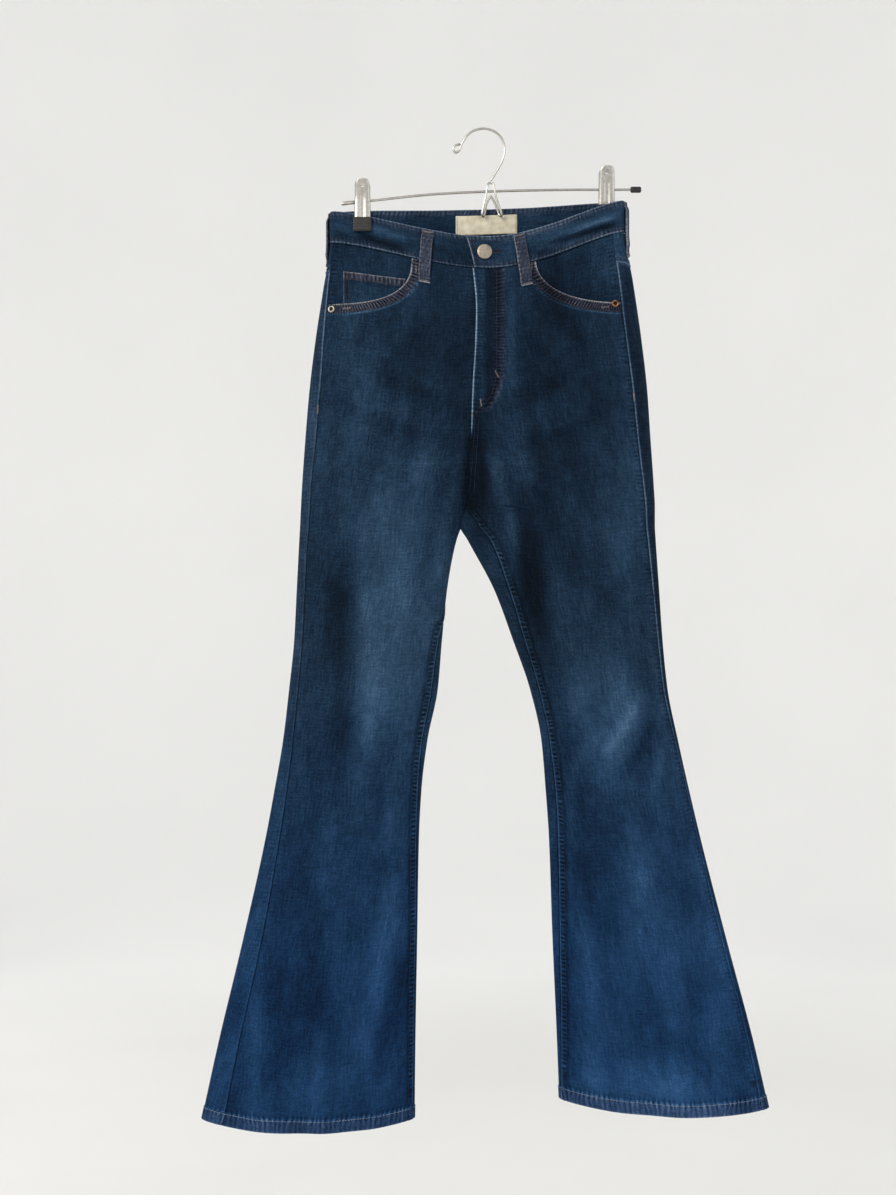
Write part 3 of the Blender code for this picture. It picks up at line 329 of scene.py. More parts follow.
def wear_and_shade_at(points: Array, front: Array) -> Array:
    """How worn the cloth is at points in mm, with painted shade and painted light from the creases
    and some ovals, from 0 for raw indigo to 1 for the palest.

    Args:
        points: Points on the jeans, in mm.
        front: Which of them lie on the front.

    Returns:
        The wear with painted shade and painted light, from 0 to 1.
    """
    x, z = points[..., 0], points[..., 2]
    # Creases: troughs darker and ridges lighter, painted shade and light, and pale whisker wear.
    total = 0.25 + 0.040 * crease_relief(x, z, front) + 0.02 * crumple(x * 0.7, z * 0.5)
    for face, patches in WEAR_AND_SHADE.items():
        here = front == (face is Face.FRONT)
        for x0, z0, half_width, half_height, amount in patches:
            oval = bell(np.hypot((x - x0) / half_width, (z - z0) / half_height))
            total += np.where(here, amount * oval, 0.0)
    return np.clip(total, 0.02, 1.0)


def waist_depth(x: Array, outer: Array, front: Array) -> Array:
    """How far forward or back the clipped waist stands, with a round fold at each side.

    Args:
        x: Places along X, in mm.
        outer: The outer fold's places, in mm.
        front: True where the place is on the front.

    Returns:
        Y, in mm.
    """
    middle, ahead, behind = (smooth_table(x, WAIST[0], depths) for depths in WAIST[1:])
    into = np.clip(np.abs(x - outer) / FORM.waist_fold_radius, 0.0, 1.0)
    return middle + np.sqrt(1.0 - (1.0 - into) ** 2) * (np.where(front, ahead, behind) - middle)


class Half:
    """One half of the jeans as a surface of (angle round the ring, nominal height).

    The angle is 0 on the outer fold, rises over the front to the inner fold at pi and falls
    over the back to the inner fold at minus pi. Above the crotch the ring stops short at the
    centre seam.
    """

    def __init__(self, side: str, hem: float, sag: float, inner_rise: float) -> None:
        """Reads this side's columns of the rings and tables the lengths round the bare ones.

        Args:
            side: right or left.
            hem: The hem's nominal height.
            sag: How far the hem hangs lower in its middle, in mm.
            inner_rise: How far it is higher at its inner end, in mm.
        """
        table = np.array(RINGS, float).T
        first = 1 if side == "right" else 5
        self.side, self.hem, self.sag, self.inner_rise = side, hem, sag, inner_rise
        self.sign = -1.0 if side == "right" else 1.0
        self.heights = np.append(table[0, :-1], hem)
        names = ("outer", "inner", "side_seam", "inseam", "front", "back")
        self.columns = dict(zip(names, (*table[first:first + 4], *table[9:])))
        angles = np.linspace(-1.3 * np.pi, 1.1 * np.pi, 481)
        heights = np.linspace(FORM.band_top, hem, 81)
        run = lengths(self.point(angles[None, :], heights[:, None], bare=True), 1)
        run = run - np.array([np.interp(0.0, angles, row) for row in run])[:, None]
        self.table = angles, heights, run

    def read(self, column: str, height: Array | float) -> Array:
        """Reads one column of the rings at nominal heights."""
        return smooth_table(height, self.heights, self.columns[column])

    def folds(self, height: Array | float) -> Line:
        """The places along X of the outer and the inner fold."""
        return self.read("outer", height), self.read("inner", height)

    def closing(self, height: Array) -> Array:
        """0 where front and back are open to the other half, 1 from the crotch down."""
        return smoothstep((FORM.closing_starts - height) / (FORM.closing_starts - FORM.crotch))

    def last_angle(self, height: Array) -> Array:
        """Where the ring meets the centre seam, which is pi below the crotch."""
        return np.arccos(-self.closing(height) ** (FORM.fold_power / 2))

    def angle_at(self, inset: Array, height: Array, from_inner: bool = False) -> Array:
        """The angle of a line that lies this far inside a fold.

        Args:
            inset: How far inside, in mm, negative on the back.
            height: Nominal heights, in mm.
            from_inner: Measure from the inner fold, not the outer.

        Returns:
            The angles.
        """
        outer, inner = self.folds(height)
        reach = 1.0 - np.abs(inset) * (1.0 + self.closing(height)) / np.abs(inner - outer)
        turn = np.sign(inset) * np.arccos(np.clip(reach, 0.0, 1.0) ** (FORM.fold_power / 2))
        return np.pi - turn if from_inner else turn

    def point(self, angle: Array, height: Array, bare: bool = False) -> Array:
        """The outside of the cloth.

        A superellipse ring, sunk by the largest folds, blended to the clipped waist's shape
        near the top, and lifted by the creases.

        Args:
            angle: Angles round the ring.
            height: Nominal heights, in mm.
            bare: Leave the folds and the creases out.

        Returns:
            Points, in mm.
        """
        angle, height = np.broadcast_arrays(np.asarray(angle, float), np.asarray(height, float))
        cosine = np.cos(angle)
        along = 1.0 - np.sign(cosine) * np.abs(cosine) ** (2 / FORM.fold_power)
        bulge = np.abs(np.sin(angle)) ** (2 / FORM.fold_power)
        front = np.sin(angle) >= 0
        outer, inner = self.folds(height)
        x = outer + (inner - outer) * along / (1.0 + self.closing(height))
        z = self.true_height(x, height, front)
        toward = np.where(front, -1.0, 1.0)
        depth = toward * np.where(front, self.read("front", height), self.read("back", height))
        sunk = 0.0 if bare else self.fold_depth((x - outer) / (inner - outer), height, front)
        y = (depth - toward * sunk) * bulge
        ramp = (height - FORM.waist_shape_ends) / (FORM.band_bottom - FORM.waist_shape_ends)
        y = y + smoothstep(ramp) * (waist_depth(x, outer, front) - y)
        relief = 0.0 * x if bare else crease_relief(x, z, front) + crumple(x, z)
        y = y + toward * relief * smoothstep(bulge * 1.6)
        return np.stack([x, y, z], axis=-1)

    def fold_depth(self, share: Array, height: Array, front: Array) -> Array:
        """How far the largest folds sink the cloth.

        Args:
            share: Shares of the way from the outer to the inner fold.
            height: Nominal heights, in mm.
            front: True where the place is on the front.

        Returns:
            The depth of the troughs there, in mm.
        """
        outer, inner = self.folds(height)
        sunk = np.zeros(np.shape(share))
        for face in Face:
            here = front == (face is Face.FRONT)
            for top, bottom, start, middle, end, depth, width in FOLDS[self.side, face]:
                run = (top - height) / (top - bottom)
                bend = 4.0 * run * (1.0 - run) * (middle - (start + end) / 2)
                off = (share - (start + (end - start) * run + bend)) * np.abs(inner - outer)
                ends = 1.0 if bottom <= self.hem else smoothstep((1 - run) / 0.4)
                sunk += np.where(here, depth * (smoothstep(run / 0.4) * ends) * bell(off / width), 0)
        return sunk

    def true_height(self, x: Array, height: Array, front: Array) -> Array:
        """The true height of a nominal one: the waist tilts and droops, and the hem sags.

        Args:
            x: Places along X, in mm.
            height: Nominal heights, in mm.
            front: True where the place is on the front.

        Returns:
            True heights, in mm.
        """
        fade = smoothstep((height - FORM.droop_ends) / (FORM.band_bottom - FORM.droop_ends))
        across = np.clip((x - WAIST[0, 0]) / (WAIST[0, -1] - WAIST[0, 0]), 0, 1)
        droop = np.sin(np.pi * across**FORM.droop_skew) ** FORM.droop_power
        droop = np.where(front, FORM.front_droop, FORM.back_droop) * droop
        near_hem = smoothstep((FORM.crotch - height) / (FORM.crotch - self.hem)) ** 2
        outer, inner = self.folds(height)
        over_leg = np.clip((x - outer) / (inner - outer), 0, 1)
        rise = self.inner_rise * over_leg - self.sag * np.sin(np.pi * over_leg)
        return height + fade * (FORM.tilt * across - droop) + near_hem * rise

    def normal(self, angle: Array, height: Array) -> Array:
        """The way out of the cloth, from the surface's two slopes.

        Args:
            angle: Angles round the half.
            height: Nominal heights.

        Returns:
            Unit vectors out of the cloth.
        """
        turn, drop = 2e-3, 0.2
        across = self.point(angle + turn, height) - self.point(angle - turn, height)
        down = self.point(angle, height - drop) - self.point(angle, height + drop)
        return unit(self.sign * np.cross(across, down))

    def line(self, angle: Array, height: Array, out: float = 0.0) -> Line:
        """Points on the cloth, moved out by some mm, with their normals."""
        angle, height = np.broadcast_arrays(np.asarray(angle, float), np.asarray(height, float))
        normals = self.normal(angle, height)
        return self.point(angle, height) + normals * out, normals

    def turn_for(self, distance: Array | float, angle: Array, height: Array) -> Array:
        """The change of angle that moves a point this many mm along the ring."""
        turn = 2e-3
        step = self.point(angle + turn, height) - self.point(angle - turn, height)
        return distance * 2 * turn / np.linalg.norm(step, axis=-1)

    def moved(self, angle: Array, height: Array, distance: float) -> Array:
        """Angles moved by this many mm along the ring."""
        return angle + self.turn_for(distance, angle, height)

    def angle_of_x(self, x: Array, height: Array, face: Face) -> Array:
        """The angle of the place at this X on a face.

        Args:
            x: Places along X.
            height: Nominal heights.
            face: The front or the back.

        Returns:
            Angles round the half.
        """
        outer, inner = self.folds(height)
        along = (x - outer) / (inner - outer) * (1.0 + self.closing(height))
        cosine = 1.0 - np.clip(along, 0.0, 2.0)
        angle = np.arccos(np.sign(cosine) * np.abs(cosine) ** (FORM.fold_power / 2))
        return angle if face is Face.FRONT else -angle

    def nominal(self, x: Array, z: Array) -> Array:
        """The nominal height whose true height on the front is z, by 24 damped steps.

        Args:
            x: Places along X.
            z: True heights.

        Returns:
            Nominal heights.
        """
        height, front = np.array(z, float), np.ones(np.shape(x), bool)
        for _ in range(24):
            height = height - 0.8 * (self.true_height(x, height, front) - z)
        return height

    def on_front(self, line: Array, out: float) -> Line:
        """A line of (X, true height) carried to the front's surface."""
        height = self.nominal(line[:, 0], line[:, 1])
        return self.line(self.angle_of_x(line[:, 0], height, Face.FRONT), height, out)

    def angle_round_fold(self, distances: Array, height: float) -> Array:
        """Angles at distances along one ring from the outer fold, positive over the front."""
        angles = np.linspace(-0.6 * np.pi, 0.6 * np.pi, 601)
        run = lengths(self.point(angles, np.full(601, height)), 0)
        return np.interp(distances, run - np.interp(0.0, angles, run), angles)

    def grain(self, angle: Array, height: Array, face: Face) -> Array:
        """How far across the cloth a place lies from a straight line down its panel.

        Lengths round the bare ring are tabled every 13 mm of height and read between rows, so
        that the weave runs straight over folds and creases.

        Args:
            angle: Angles round the ring.
            height: Nominal heights, in mm.
            face: The panel's face.

        Returns:
            Distances, in mm, growing with the angle.
        """
        angles, heights, run = self.table
        column = np.clip((angle - angles[0]) / (angles[1] - angles[0]), 0, len(angles) - 1.001)
        row = np.clip((height - heights[0]) / (heights[1] - heights[0]), 0, len(heights) - 1.001)
        i, j = row.astype(int), column.astype(int)
        a, b = row - i, column - j
        place = ((1 - a) * ((1 - b) * run[i, j] + b * run[i, j + 1])
                 + a * ((1 - b) * run[i + 1, j] + b * run[i + 1, j + 1]))
        ends = np.array([-420.0, self.hem])
        middle = sum(self.folds(ends)) / 2
        line = middle[0] + (middle[1] - middle[0]) * (heights - ends[0]) / (ends[1] - ends[0])
        at = self.angle_of_x(line, heights, face)
        plumb = np.array([np.interp(a, angles, row) for a, row in zip(at, run)])
        return place - np.interp(-height, -heights, plumb)

    def side_seam(self, height: Array) -> Array:
        """The angle of the side seam, which lies on the front."""
        return self.angle_at(self.read("side_seam", height), height)

    def front_edge(self, height: Array) -> Array:
        """The front panel's inner edge: the centre seam, then the inseam."""
        inseam = self.angle_at(self.read("inseam", height), height, from_inner=True)
        return np.where(height > FORM.crotch, self.last_angle(height), inseam)

    def back_edge(self, height: Array) -> Array:
        """The back panel's inner edge, past minus pi where it wraps to the front."""
        inseam = self.angle_at(self.read("inseam", height), height, from_inner=True) - TURN
        return np.where(height > FORM.crotch, -self.last_angle(height), inseam)


RIGHT = Half("right", -1156.0, 13.0, 1.0)
LEFT = Half("left", -1143.0, 11.0, 11.0)
HALVES = {"right": RIGHT, "left": LEFT}


def on_hips(x: Array, height: Array, face: Face, out: Array | float = 0.0) -> Line:
    """Points and outward normals of the hips at (x, nominal height).

    Args:
        x: Places along X, in mm.
        height: Nominal heights, in mm.
        face: Front or back.
        out: How far to move the points out, in mm.

    Returns:
        Points in mm, and unit normals.
    """
    x, height = np.broadcast_arrays(np.asarray(x, float), np.asarray(height, float))
    (right, right_out), (left, left_out) = (
        half.line(half.angle_of_x(x, height, face), height) for half in (RIGHT, LEFT))
    first = (x < RIGHT.read("inner", height))[..., None]
    points, normals = np.where(first, right, left), np.where(first, right_out, left_out)
    points[..., 0] = x
    return points + normals * out, normals


# ------------------------------------------------------------------ meshes

def grid_quads(rows: int, columns: int, wrap: bool = False) -> Array:
    """The quads of a grid of vertices numbered row by row.

    Args:
        rows: Rows of vertices.
        columns: Columns of vertices.
        wrap: Join the last column to the first.

    Returns:
        Vertex numbers, (count, 4).
    """
    index = np.arange(rows * columns).reshape(rows, columns)
    if wrap:
        index = np.concatenate([index, index[:, :1]], axis=1)
    quads = np.stack([index[:-1, :-1], index[1:, :-1], index[1:, 1:], index[:-1, 1:]], -1)
    return quads.reshape(-1, 4)


def fan(centre: int, ring: Array) -> Array:
    """Triangles from a centre to a ring of vertex numbers."""
    return np.stack([np.full(len(ring), centre), ring, np.roll(ring, -1)], -1)


def lofted(rings: Array, ends: Array, flip: bool = False) -> Shape:
    """Rings of points joined in turn, with a fan of triangles over each end.

    Args:
        rings: Points, (count, sides, 3).
        ends: The two fans' middles, (2, 3).
        flip: Turn every face over.

    Returns:
        Points and faces.
    """
    count, sides = rings.shape[:2]
    ring = np.arange(sides)
    faces = [grid_quads(count, sides, wrap=True), fan(count * sides, ring),
             fan(count * sides + 1, ring + (count - 1) * sides)[:, ::-1]]
    points = np.concatenate([rings.reshape(-1, 3), ends])
    return points, [group[:, ::-1] for group in faces] if flip else faces


def circle(sides: int) -> Line:
    """Cosines and sines of the corners of a ring."""
    turn = np.linspace(0.0, TURN, sides, endpoint=False)
    return np.cos(turn), np.sin(turn)


def tube(points: Array, radius: Array | float, sides: int, closed: bool = False,
         round_ends: bool = True) -> Shape:
    """A round wire along a line, with domed ends.

    Rings stand square to the line in a frame carried along it without twist.

    Args:
        points: The line, in mm.
        radius: One number or one for each point.
        sides: Sides of each ring.
        closed: Join the end to the start.
        round_ends: Close the ends with domes.

    Returns:
        Points and faces.
    """
    points = np.asarray(points, float)
    radius = np.broadcast_to(radius, len(points)).astype(float)
    if closed:
        tangent = unit(np.roll(points, -1, 0) - np.roll(points, 1, 0))
    else:
        tangent = unit(np.gradient(points, axis=0))
    if round_ends and not closed:
        dome = np.array([0.0, 0.5, 0.8, 0.95])
        back = np.sqrt(1.0 - dome**2)
        first = points[0] - tangent[0] * (back * radius[0])[:, None]
        last = points[-1] + tangent[-1] * (back[::-1] * radius[-1])[:, None]
        points = np.concatenate([first, points, last])
        tangent = np.concatenate([np.repeat(tangent[:1], 4, 0), tangent, np.repeat(tangent[-1:], 4, 0)])
        dome = np.maximum(dome, 0.02)
        radius = np.concatenate([dome * radius[0], radius, dome[::-1] * radius[-1]])
    side = np.array([0.0, 1.0, 0.0]) if abs(tangent[0][1]) < 0.9 else np.array([1.0, 0.0, 0.0])
    normals = np.empty_like(points)
    for i, way in enumerate(tangent):
        side = side - way * float(side @ way)
        side = side / max(float(np.linalg.norm(side)), 1e-9)
        normals[i] = side
    across = np.cross(tangent, normals)
    cosine, sine = circle(sides)
    ring = normals[:, None] * cosine[None, :, None] + across[:, None] * sine[None, :, None]
    rings = points[:, None] + ring * radius[:, None, None]
    if not closed:
        return lofted(rings, points[[0, -1]], flip=True)
    first = np.arange(sides)
    last = first + (len(points) - 1) * sides
    join = np.stack([last, np.roll(last, -1), np.roll(first, -1), first], -1)
    quads = grid_quads(len(points), sides, wrap=True)[:, ::-1]
    return rings.reshape(-1, 3), [np.concatenate([quads, join])]


def turned(profile: Sequence, sides: int) -> Shape:
    """A profile of (radius, height), ends on the axis and top first, turned about +Z.

    Args:
        profile: Radii and heights in mm, top first.
        sides: Sides of each ring.

    Returns:
        Points and faces.
    """
    profile = np.asarray(profile, float)
    inner = profile[1:-1]
    cosine, sine = circle(sides)
    rings = np.stack([inner[:, :1] * cosine, inner[:, :1] * sine,
                      np.repeat(inner[:, 1:], sides, 1)], -1)
    return lofted(rings, [[0, 0, profile[0, 1]], [0, 0, profile[-1, 1]]])


def placed(shape: Shape, place: Array, way: Array) -> Shape:
    """A shape about +Z turned so that +Z lies along way, and moved to place."""
    turn = np.array(Vector(way).to_track_quat("Z", "Y").to_matrix())
    return shape[0] @ turn.T + np.asarray(place), shape[1]


def merged(parts: Sequence[Shape]) -> Shape:
    """Several shapes as one.

    Args:
        parts: The shapes, each with its own numbering.

    Returns:
        Points and faces.
    """
    points, faces, start = [], [], 0
    for part_points, part_faces in parts:
        points.append(part_points)
        faces.extend(group + start for group in part_faces)
        start += len(part_points)
    return np.concatenate(points), faces


def outward(points: Array, faces: Array) -> Array:
    """A closed mesh's quads, turned over if the volume of their tetrahedra is negative."""
    a, b, c, d = (points[faces[:, i]] for i in range(4))
    volume = (np.einsum("ij,ij->i", a, np.cross(b, c)) + np.einsum("ij,ij->i", a, np.cross(c, d)))
    return faces[:, ::-1] if volume.sum() < 0 else faces


def open_wall(points: Array, normals: Array, keep: Array, wall: float) -> Shape:
    """A closed wall from a grid with some of its quads left out, rims made round every gap.

    Args:
        points: Outer side, (rows, columns, 3).
        normals: The way out.
        keep: Which quads stay, (rows - 1, columns - 1).
        wall: Thickness in mm.

    Returns:
        Points and faces.
    """
    rows, columns = points.shape[:2]
    quads = grid_quads(rows, columns)[keep.ravel()]
    start, end = quads, np.roll(quads, -1, axis=1)
    total = rows * columns
    rim = ~np.isin((end * total + start).ravel(), (start * total + end).ravel())
    a, b = start.ravel()[rim], end.ravel()[rim]
    sides = np.stack([b, a, a + total, b + total], -1)
    flat = np.concatenate([points.reshape(-1, 3), (points - normals * wall).reshape(-1, 3)])
    faces = outward(flat, np.concatenate([quads, quads[:, ::-1] + total, sides]))
    used = np.unique(faces)
    number = np.zeros(len(flat), int)
    number[used] = np.arange(len(used))
    return flat[used], [number[faces]]


def add_mesh(name: str, points: Array, faces: Sequence[Array],
             material: bpy.types.Material) -> bpy.types.Object:
    """A smooth mesh object from points in mm, linked to the scene.

    Args:
        name: The object's name.
        points: Points, (count, 3).
        faces: Arrays of faces, each of quads or of triangles.
        material: What it is made of.

    Returns:
        The object.
    """
    mesh = bpy.data.meshes.new(name)
    groups = [np.asarray(group, np.int32) for group in faces]
    corners = np.concatenate([group.ravel() for group in groups])
    sizes = np.concatenate([np.full(len(group), group.shape[1], np.int32) for group in groups])
    mesh.vertices.add(len(points))
    mesh.vertices.foreach_set("co", (np.asarray(points) * MM).astype(np.float32).ravel())
    mesh.loops.add(len(corners))
    mesh.loops.foreach_set("vertex_index", corners)
    mesh.polygons.add(len(sizes))
    mesh.polygons.foreach_set("loop_start", (np.cumsum(sizes) - sizes).astype(np.int32))
    mesh.update(calc_edges=True)
    mesh.validate()
    mesh.shade_smooth()
    mesh.materials.append(material)
    piece = bpy.data.objects.new(name, mesh)
    bpy.context.scene.collection.objects.link(piece)
    return piece


class ClothGrid:
    """A stretch of cloth on a grid: its outer side, and what its dye and weave need to know.

    cloth is the place on the flat cut, across and down in mm, where the weave is drawn.
    wear_and_shade runs from 0, raw indigo, to 1: wear, with painted shade in troughs and painted
    light on ridges. edge is how rubbed a sewn edge is, pucker how gathered the cloth is beside its
    stitching, run the distance along that stitching, in mm, and grey how far the dye has gone
    brownish grey where doubled cloth was abraded.
    """

    FACTS = ("wear_and_shade", "edge", "pucker", "run", "grey")

    def __init__(self, surface: Line, cloth: Line, wear_and_shade: Array | float) -> None:
        """Starts with no rubbed edge, no pucker and no grey.

        Args:
            surface: Points of the outer side in mm, (rows, columns, 3), and the way out at each.
            cloth: Places on the flat cut, across and down, in mm.
            wear_and_shade: The wear with painted shade and painted light, one number or a grid.
        """
        self.points, self.normals = surface
        self.cloth = np.stack(cloth, -1)
        self.wear_and_shade = np.broadcast_to(wear_and_shade, self.points.shape[:2])
        self.edge = self.pucker = self.run = self.grey = np.zeros(self.points.shape[:2])

    def runs(self) -> Line:
        """How far across and how far down the outer side each point lies, in mm."""
        return lengths(self.points, 1), lengths(self.points, 0)

    def rise(self, lift: Array | float) -> None:
        """Moves the outer side out by a lift in mm."""
        self.points = self.points + self.normals * np.asarray(lift)[..., None]

    def rub(self, *amounts: Array) -> None:
        """Rubs its edges at least this pale."""
        self.edge = np.maximum.reduce([self.edge, *amounts])

    def gather(self, *amounts: Array) -> None:
        """Gathers it at least this much."""
        self.pucker = np.maximum.reduce([self.pucker, *amounts])

    def abrade(self, *amounts: Array) -> None:
        """Greys its dye at least this far."""
        self.grey = np.maximum.reduce([self.grey, *amounts])

    def soften_rim(self, depth: float, reach: float,
                   sides: Sequence[str] = ("top", "bottom", "start", "end")) -> None:
        """Rolls the outer side down towards sides of its rim, as turned cloth does.

        The drop is a quarter round: depth times one less the root of one less the square of how
        near the rim is.

        Args:
            depth: How far the very edge drops, in mm.
            reach: How far in the roll starts, in mm.
            sides: Which sides of the grid.
        """
        across, down = self.runs()
        distance = {"top": down, "bottom": down[-1:] - down, "start": across,
                    "end": across[:, -1:] - across}
        near = np.maximum.reduce([np.clip(1 - distance[side] / reach, 0, 1) for side in sides])
        self.rise(-depth * (1.0 - np.sqrt(1.0 - near**2)))

    def area(self) -> float:
        """The outer side's area in square metres, from its quads' diagonals."""
        p = self.points
        cross = np.cross(p[1:, 1:] - p[:-1, :-1], p[1:, :-1] - p[:-1, 1:])
        return float(np.linalg.norm(cross, axis=-1).sum()) / 2.0 * MM * MM

    def piece(self, name: str, thickness: Array | float,
              material: bpy.types.Material) -> bpy.types.Object:
        """A closed cloth wall: the outer side, an inner side grown inwards, and a rim.

        Args:
            name: The piece's name.
            thickness: In mm, one number or a grid.
            material: The cloth's material.

        Returns:
            The object, with the grid's facts as point attributes.
        """
        rows, columns = self.wear_and_shade.shape
        shift = rows * columns
        inside = self.points - self.normals * np.asarray(thickness)[..., None]
        index = np.arange(shift).reshape(rows, columns)
        quads = grid_quads(rows, columns)
        edge = np.concatenate([index[:-1, 0], index[-1, :-1], index[:0:-1, -1], index[0, :0:-1]])
        following = np.roll(edge, -1)
        rim = np.stack([following, edge, edge + shift, following + shift], -1)
        points = np.concatenate([self.points.reshape(-1, 3), inside.reshape(-1, 3)])
        faces = outward(points, np.concatenate([quads, quads[:, ::-1] + shift, rim]))
        made = add_mesh(name, points, [faces], material)
        flat = np.concatenate([self.cloth, np.zeros((rows, columns, 1))], -1).reshape(-1, 3)
        layers = [("cloth", "FLOAT_VECTOR", "vector", flat)]
        layers += [(fact, "FLOAT", "value", getattr(self, fact).ravel()) for fact in self.FACTS]
        for fact, kind, field, values in layers:
            layer = made.data.attributes.new(fact, kind, "POINT").data
            layer.foreach_set(field, np.concatenate([values, values]).astype(np.float32).ravel())
        return made


class Cut(NamedTuple):
    """The rectangle a panel is cut from, in metres, and the cloth it uses of it."""

    flat: tuple[float, float]
    area: float


@dataclass
class Maker:
    """Someone who makes pieces in the finishes it is given, and says what they stand for."""

    finishes: dict[str, bpy.types.Material]

    def show(self, piece: bpy.types.Object, node: str) -> None:
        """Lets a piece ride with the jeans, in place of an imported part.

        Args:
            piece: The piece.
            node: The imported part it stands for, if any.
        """
        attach(piece, BODY)
        if node:
            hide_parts(node)
        LOG.info("%s stands for %s", piece.name, node or "a detail")

    def solid(self, name: str, slot: str, shape: Shape, node: str = "", finish: str = "",
              sharp: float = 0.0) -> None:
        """Makes a hard piece or a thread.

        Args:
            name: The piece's name.
            slot: Its finish's slot.
            shape: Its points and faces.
            node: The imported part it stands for, if any.
            finish: Its own finish, where that isn't the slot's.
            sharp: Edges past this angle stay sharp, in degrees.
        """
        piece = add_mesh(name, *shape, self.finishes[finish or slot])
        if sharp:
            piece.data.set_sharp_from_angle(angle=math.radians(sharp))
        self.show(piece, node)

    def sew(self, node: str, slot: str, grid: ClothGrid, wall: Array | float, cut: str,
            *rests_on: str) -> None:
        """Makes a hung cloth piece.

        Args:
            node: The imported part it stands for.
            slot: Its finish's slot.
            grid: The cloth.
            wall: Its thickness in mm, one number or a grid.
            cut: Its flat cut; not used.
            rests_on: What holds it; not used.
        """
        piece = grid.piece(f"{node}_cloth", wall, self.finishes[slot])
        self.show(piece, node)
        across, down = grid.runs()
        LOG.info("  %.4f m2 of cloth, %.0f mm across, %.0f mm long", grid.area(),
                 across[:, -1].max(), down[-1].max())


# ------------------------------------------------------------------ thread

class Stitching:
    """Rows of stitches in one thread, joined as one mesh."""

    RINGS = np.array([0.45, 0.95, 0.95, 0.45])
    ALONG = np.array([-0.5, -0.26, 0.26, 0.5])
    LIFTS = np.array([-0.55, 0.30, 0.30, -0.55])
    SIDES = 5

    def __init__(self, name: str, finish: str) -> None:
        """Starts with no rows of a thread."""
        self.name, self.finish = name, finish
        self.rows: list[Shape] = []

    def add(self, line: Line, pitch: float = 3.3, width: float = 0.75,
            filled: float = 0.80) -> None:
        """Adds a row of lock stitches along a line that lies on cloth.

        Each stitch is four rings of five sides about its own direction. Its end rings are
        narrower and sunk below the cloth, so that it dives into its holes.

        Args:
            line: Points in mm, (count, 3), and the way out of the cloth along them.
            pitch: From one stitch to the next, in mm.
            width: The thread's width, in mm.
            filled: The share of the pitch that shows thread.
        """
        run = lengths(line[0], 0)
        count = max(int(run[-1] / pitch), 1)
        pitch = run[-1] / count
        middle = (np.arange(count) + 0.5) * pitch
        at = middle[:, None] + self.ALONG[None, :] * pitch * filled
        place, out = (np.stack([np.interp(at, run, values[:, i]) for i in range(3)], -1)
                      for values in line)
        way = unit(place[:, -1:] - place[:, :1])
        side = unit(np.cross(way, unit(out)))
        out = np.cross(side, way)
        radius = width / 2
        place = place + out * (self.LIFTS * radius + 0.1)[None, :, None]
        cosine, sine = (values[None, None, :, None] for values in circle(self.SIDES))
        ring = out[:, :, None] * cosine + side[:, :, None] * sine
        points = place[:, :, None] + ring * (self.RINGS * radius)[None, :, None, None]
        size = len(self.RINGS) * self.SIDES
        start = (np.arange(count) * size)[:, None, None]
        quads = grid_quads(len(self.RINGS), self.SIDES, wrap=True)
        corner = np.arange(self.SIDES)
        ends = np.stack([np.zeros(3, int), corner[1:4], corner[2:5]], -1)
        caps = np.concatenate([ends, ends[:, ::-1] + size - self.SIDES])
        self.rows.append((points.reshape(-1, 3), [
            (quads[None] + start).reshape(-1, 4)[:, ::-1],
            (caps[None] + start).reshape(-1, 3)[:, ::-1]]))

    def tack(self, place: Array, way: Sequence, out: Array, length: float,
             width: float = 2.2) -> None:
        """Adds a bar tack, a dense bar of thread, as a zigzag of close stitches.

        Args:
            place: Its middle.
            way: The direction of the bar.
            out: The way out of the cloth.
            length: The bar's length, in mm.
            width: The bar's width, in mm.
        """
        way, out = unit(np.asarray(way)), unit(np.asarray(out))
        turns = int(length / 0.8)
        along = np.linspace(-0.5, 0.5, turns) * length
        across = np.where(np.arange(turns) % 2 == 0, -0.5, 0.5) * width
        points = place + way * along[:, None] + np.cross(way, out) * across[:, None]
        self.add((points, np.repeat(out[None], turns, 0)), pitch=0.9, width=0.5, filled=1.0)


# ------------------------------------------------------------------ materials

def linear(code: str) -> tuple[float, float, float, float]:
    """An sRGB hex colour as linear RGBA."""
    values = [int(code[i:i + 2], 16) / 255.0 for i in (1, 3, 5)]
    made = [v / 12.92 if v <= 0.04045 else ((v + 0.055) / 1.055) ** 2.4 for v in values]
    return (*made, 1.0)


class Recipe:
    """A material's node tree, ending in its output."""

    def __init__(self, name: str) -> None:
        """Starts with only the output.

        Args:
            name: The material's name.
        """
        self.material = bpy.data.materials.new(name)
        self.material.use_nodes = True
        self.material.node_tree.nodes.clear()
        self.output = self.material.node_tree.nodes.new("ShaderNodeOutputMaterial")

    def add(self, kind: str, inputs: dict, out: int | str = 0,
            stops: Sequence[tuple[float, str]] = (), **settings: object) -> Socket:
        """Adds a node.

        Args:
            kind: The node's type, less its prefix.
            inputs: Its inputs by name or number: a socket is linked, anything else is set.
            out: Which output to give.
            stops: Places and sRGB hex colours along a colour ramp.
            settings: Its own properties.

        Returns:
            The output.
        """
        tree = self.material.node_tree
        node = tree.nodes.new(f"ShaderNode{kind}")
        for key, value in settings.items():
            setattr(node, key, value)
        for key, value in inputs.items():
            if isinstance(value, Socket):
                tree.links.new(value, node.inputs[key])
            else:
                node.inputs[key].default_value = value
        for _ in stops[2:]:
            node.color_ramp.elements.new(0.5)
        for number, (place, code) in enumerate(stops):
            node.color_ramp.elements[number].position = place
            node.color_ramp.elements[number].color = linear(code)
        return node.outputs[out]

    def finish(self, shader: Socket) -> bpy.types.Material:
        """Gives the material, with this shader on its surface."""
        self.material.node_tree.links.new(shader, self.output.inputs["Surface"])
        return self.material


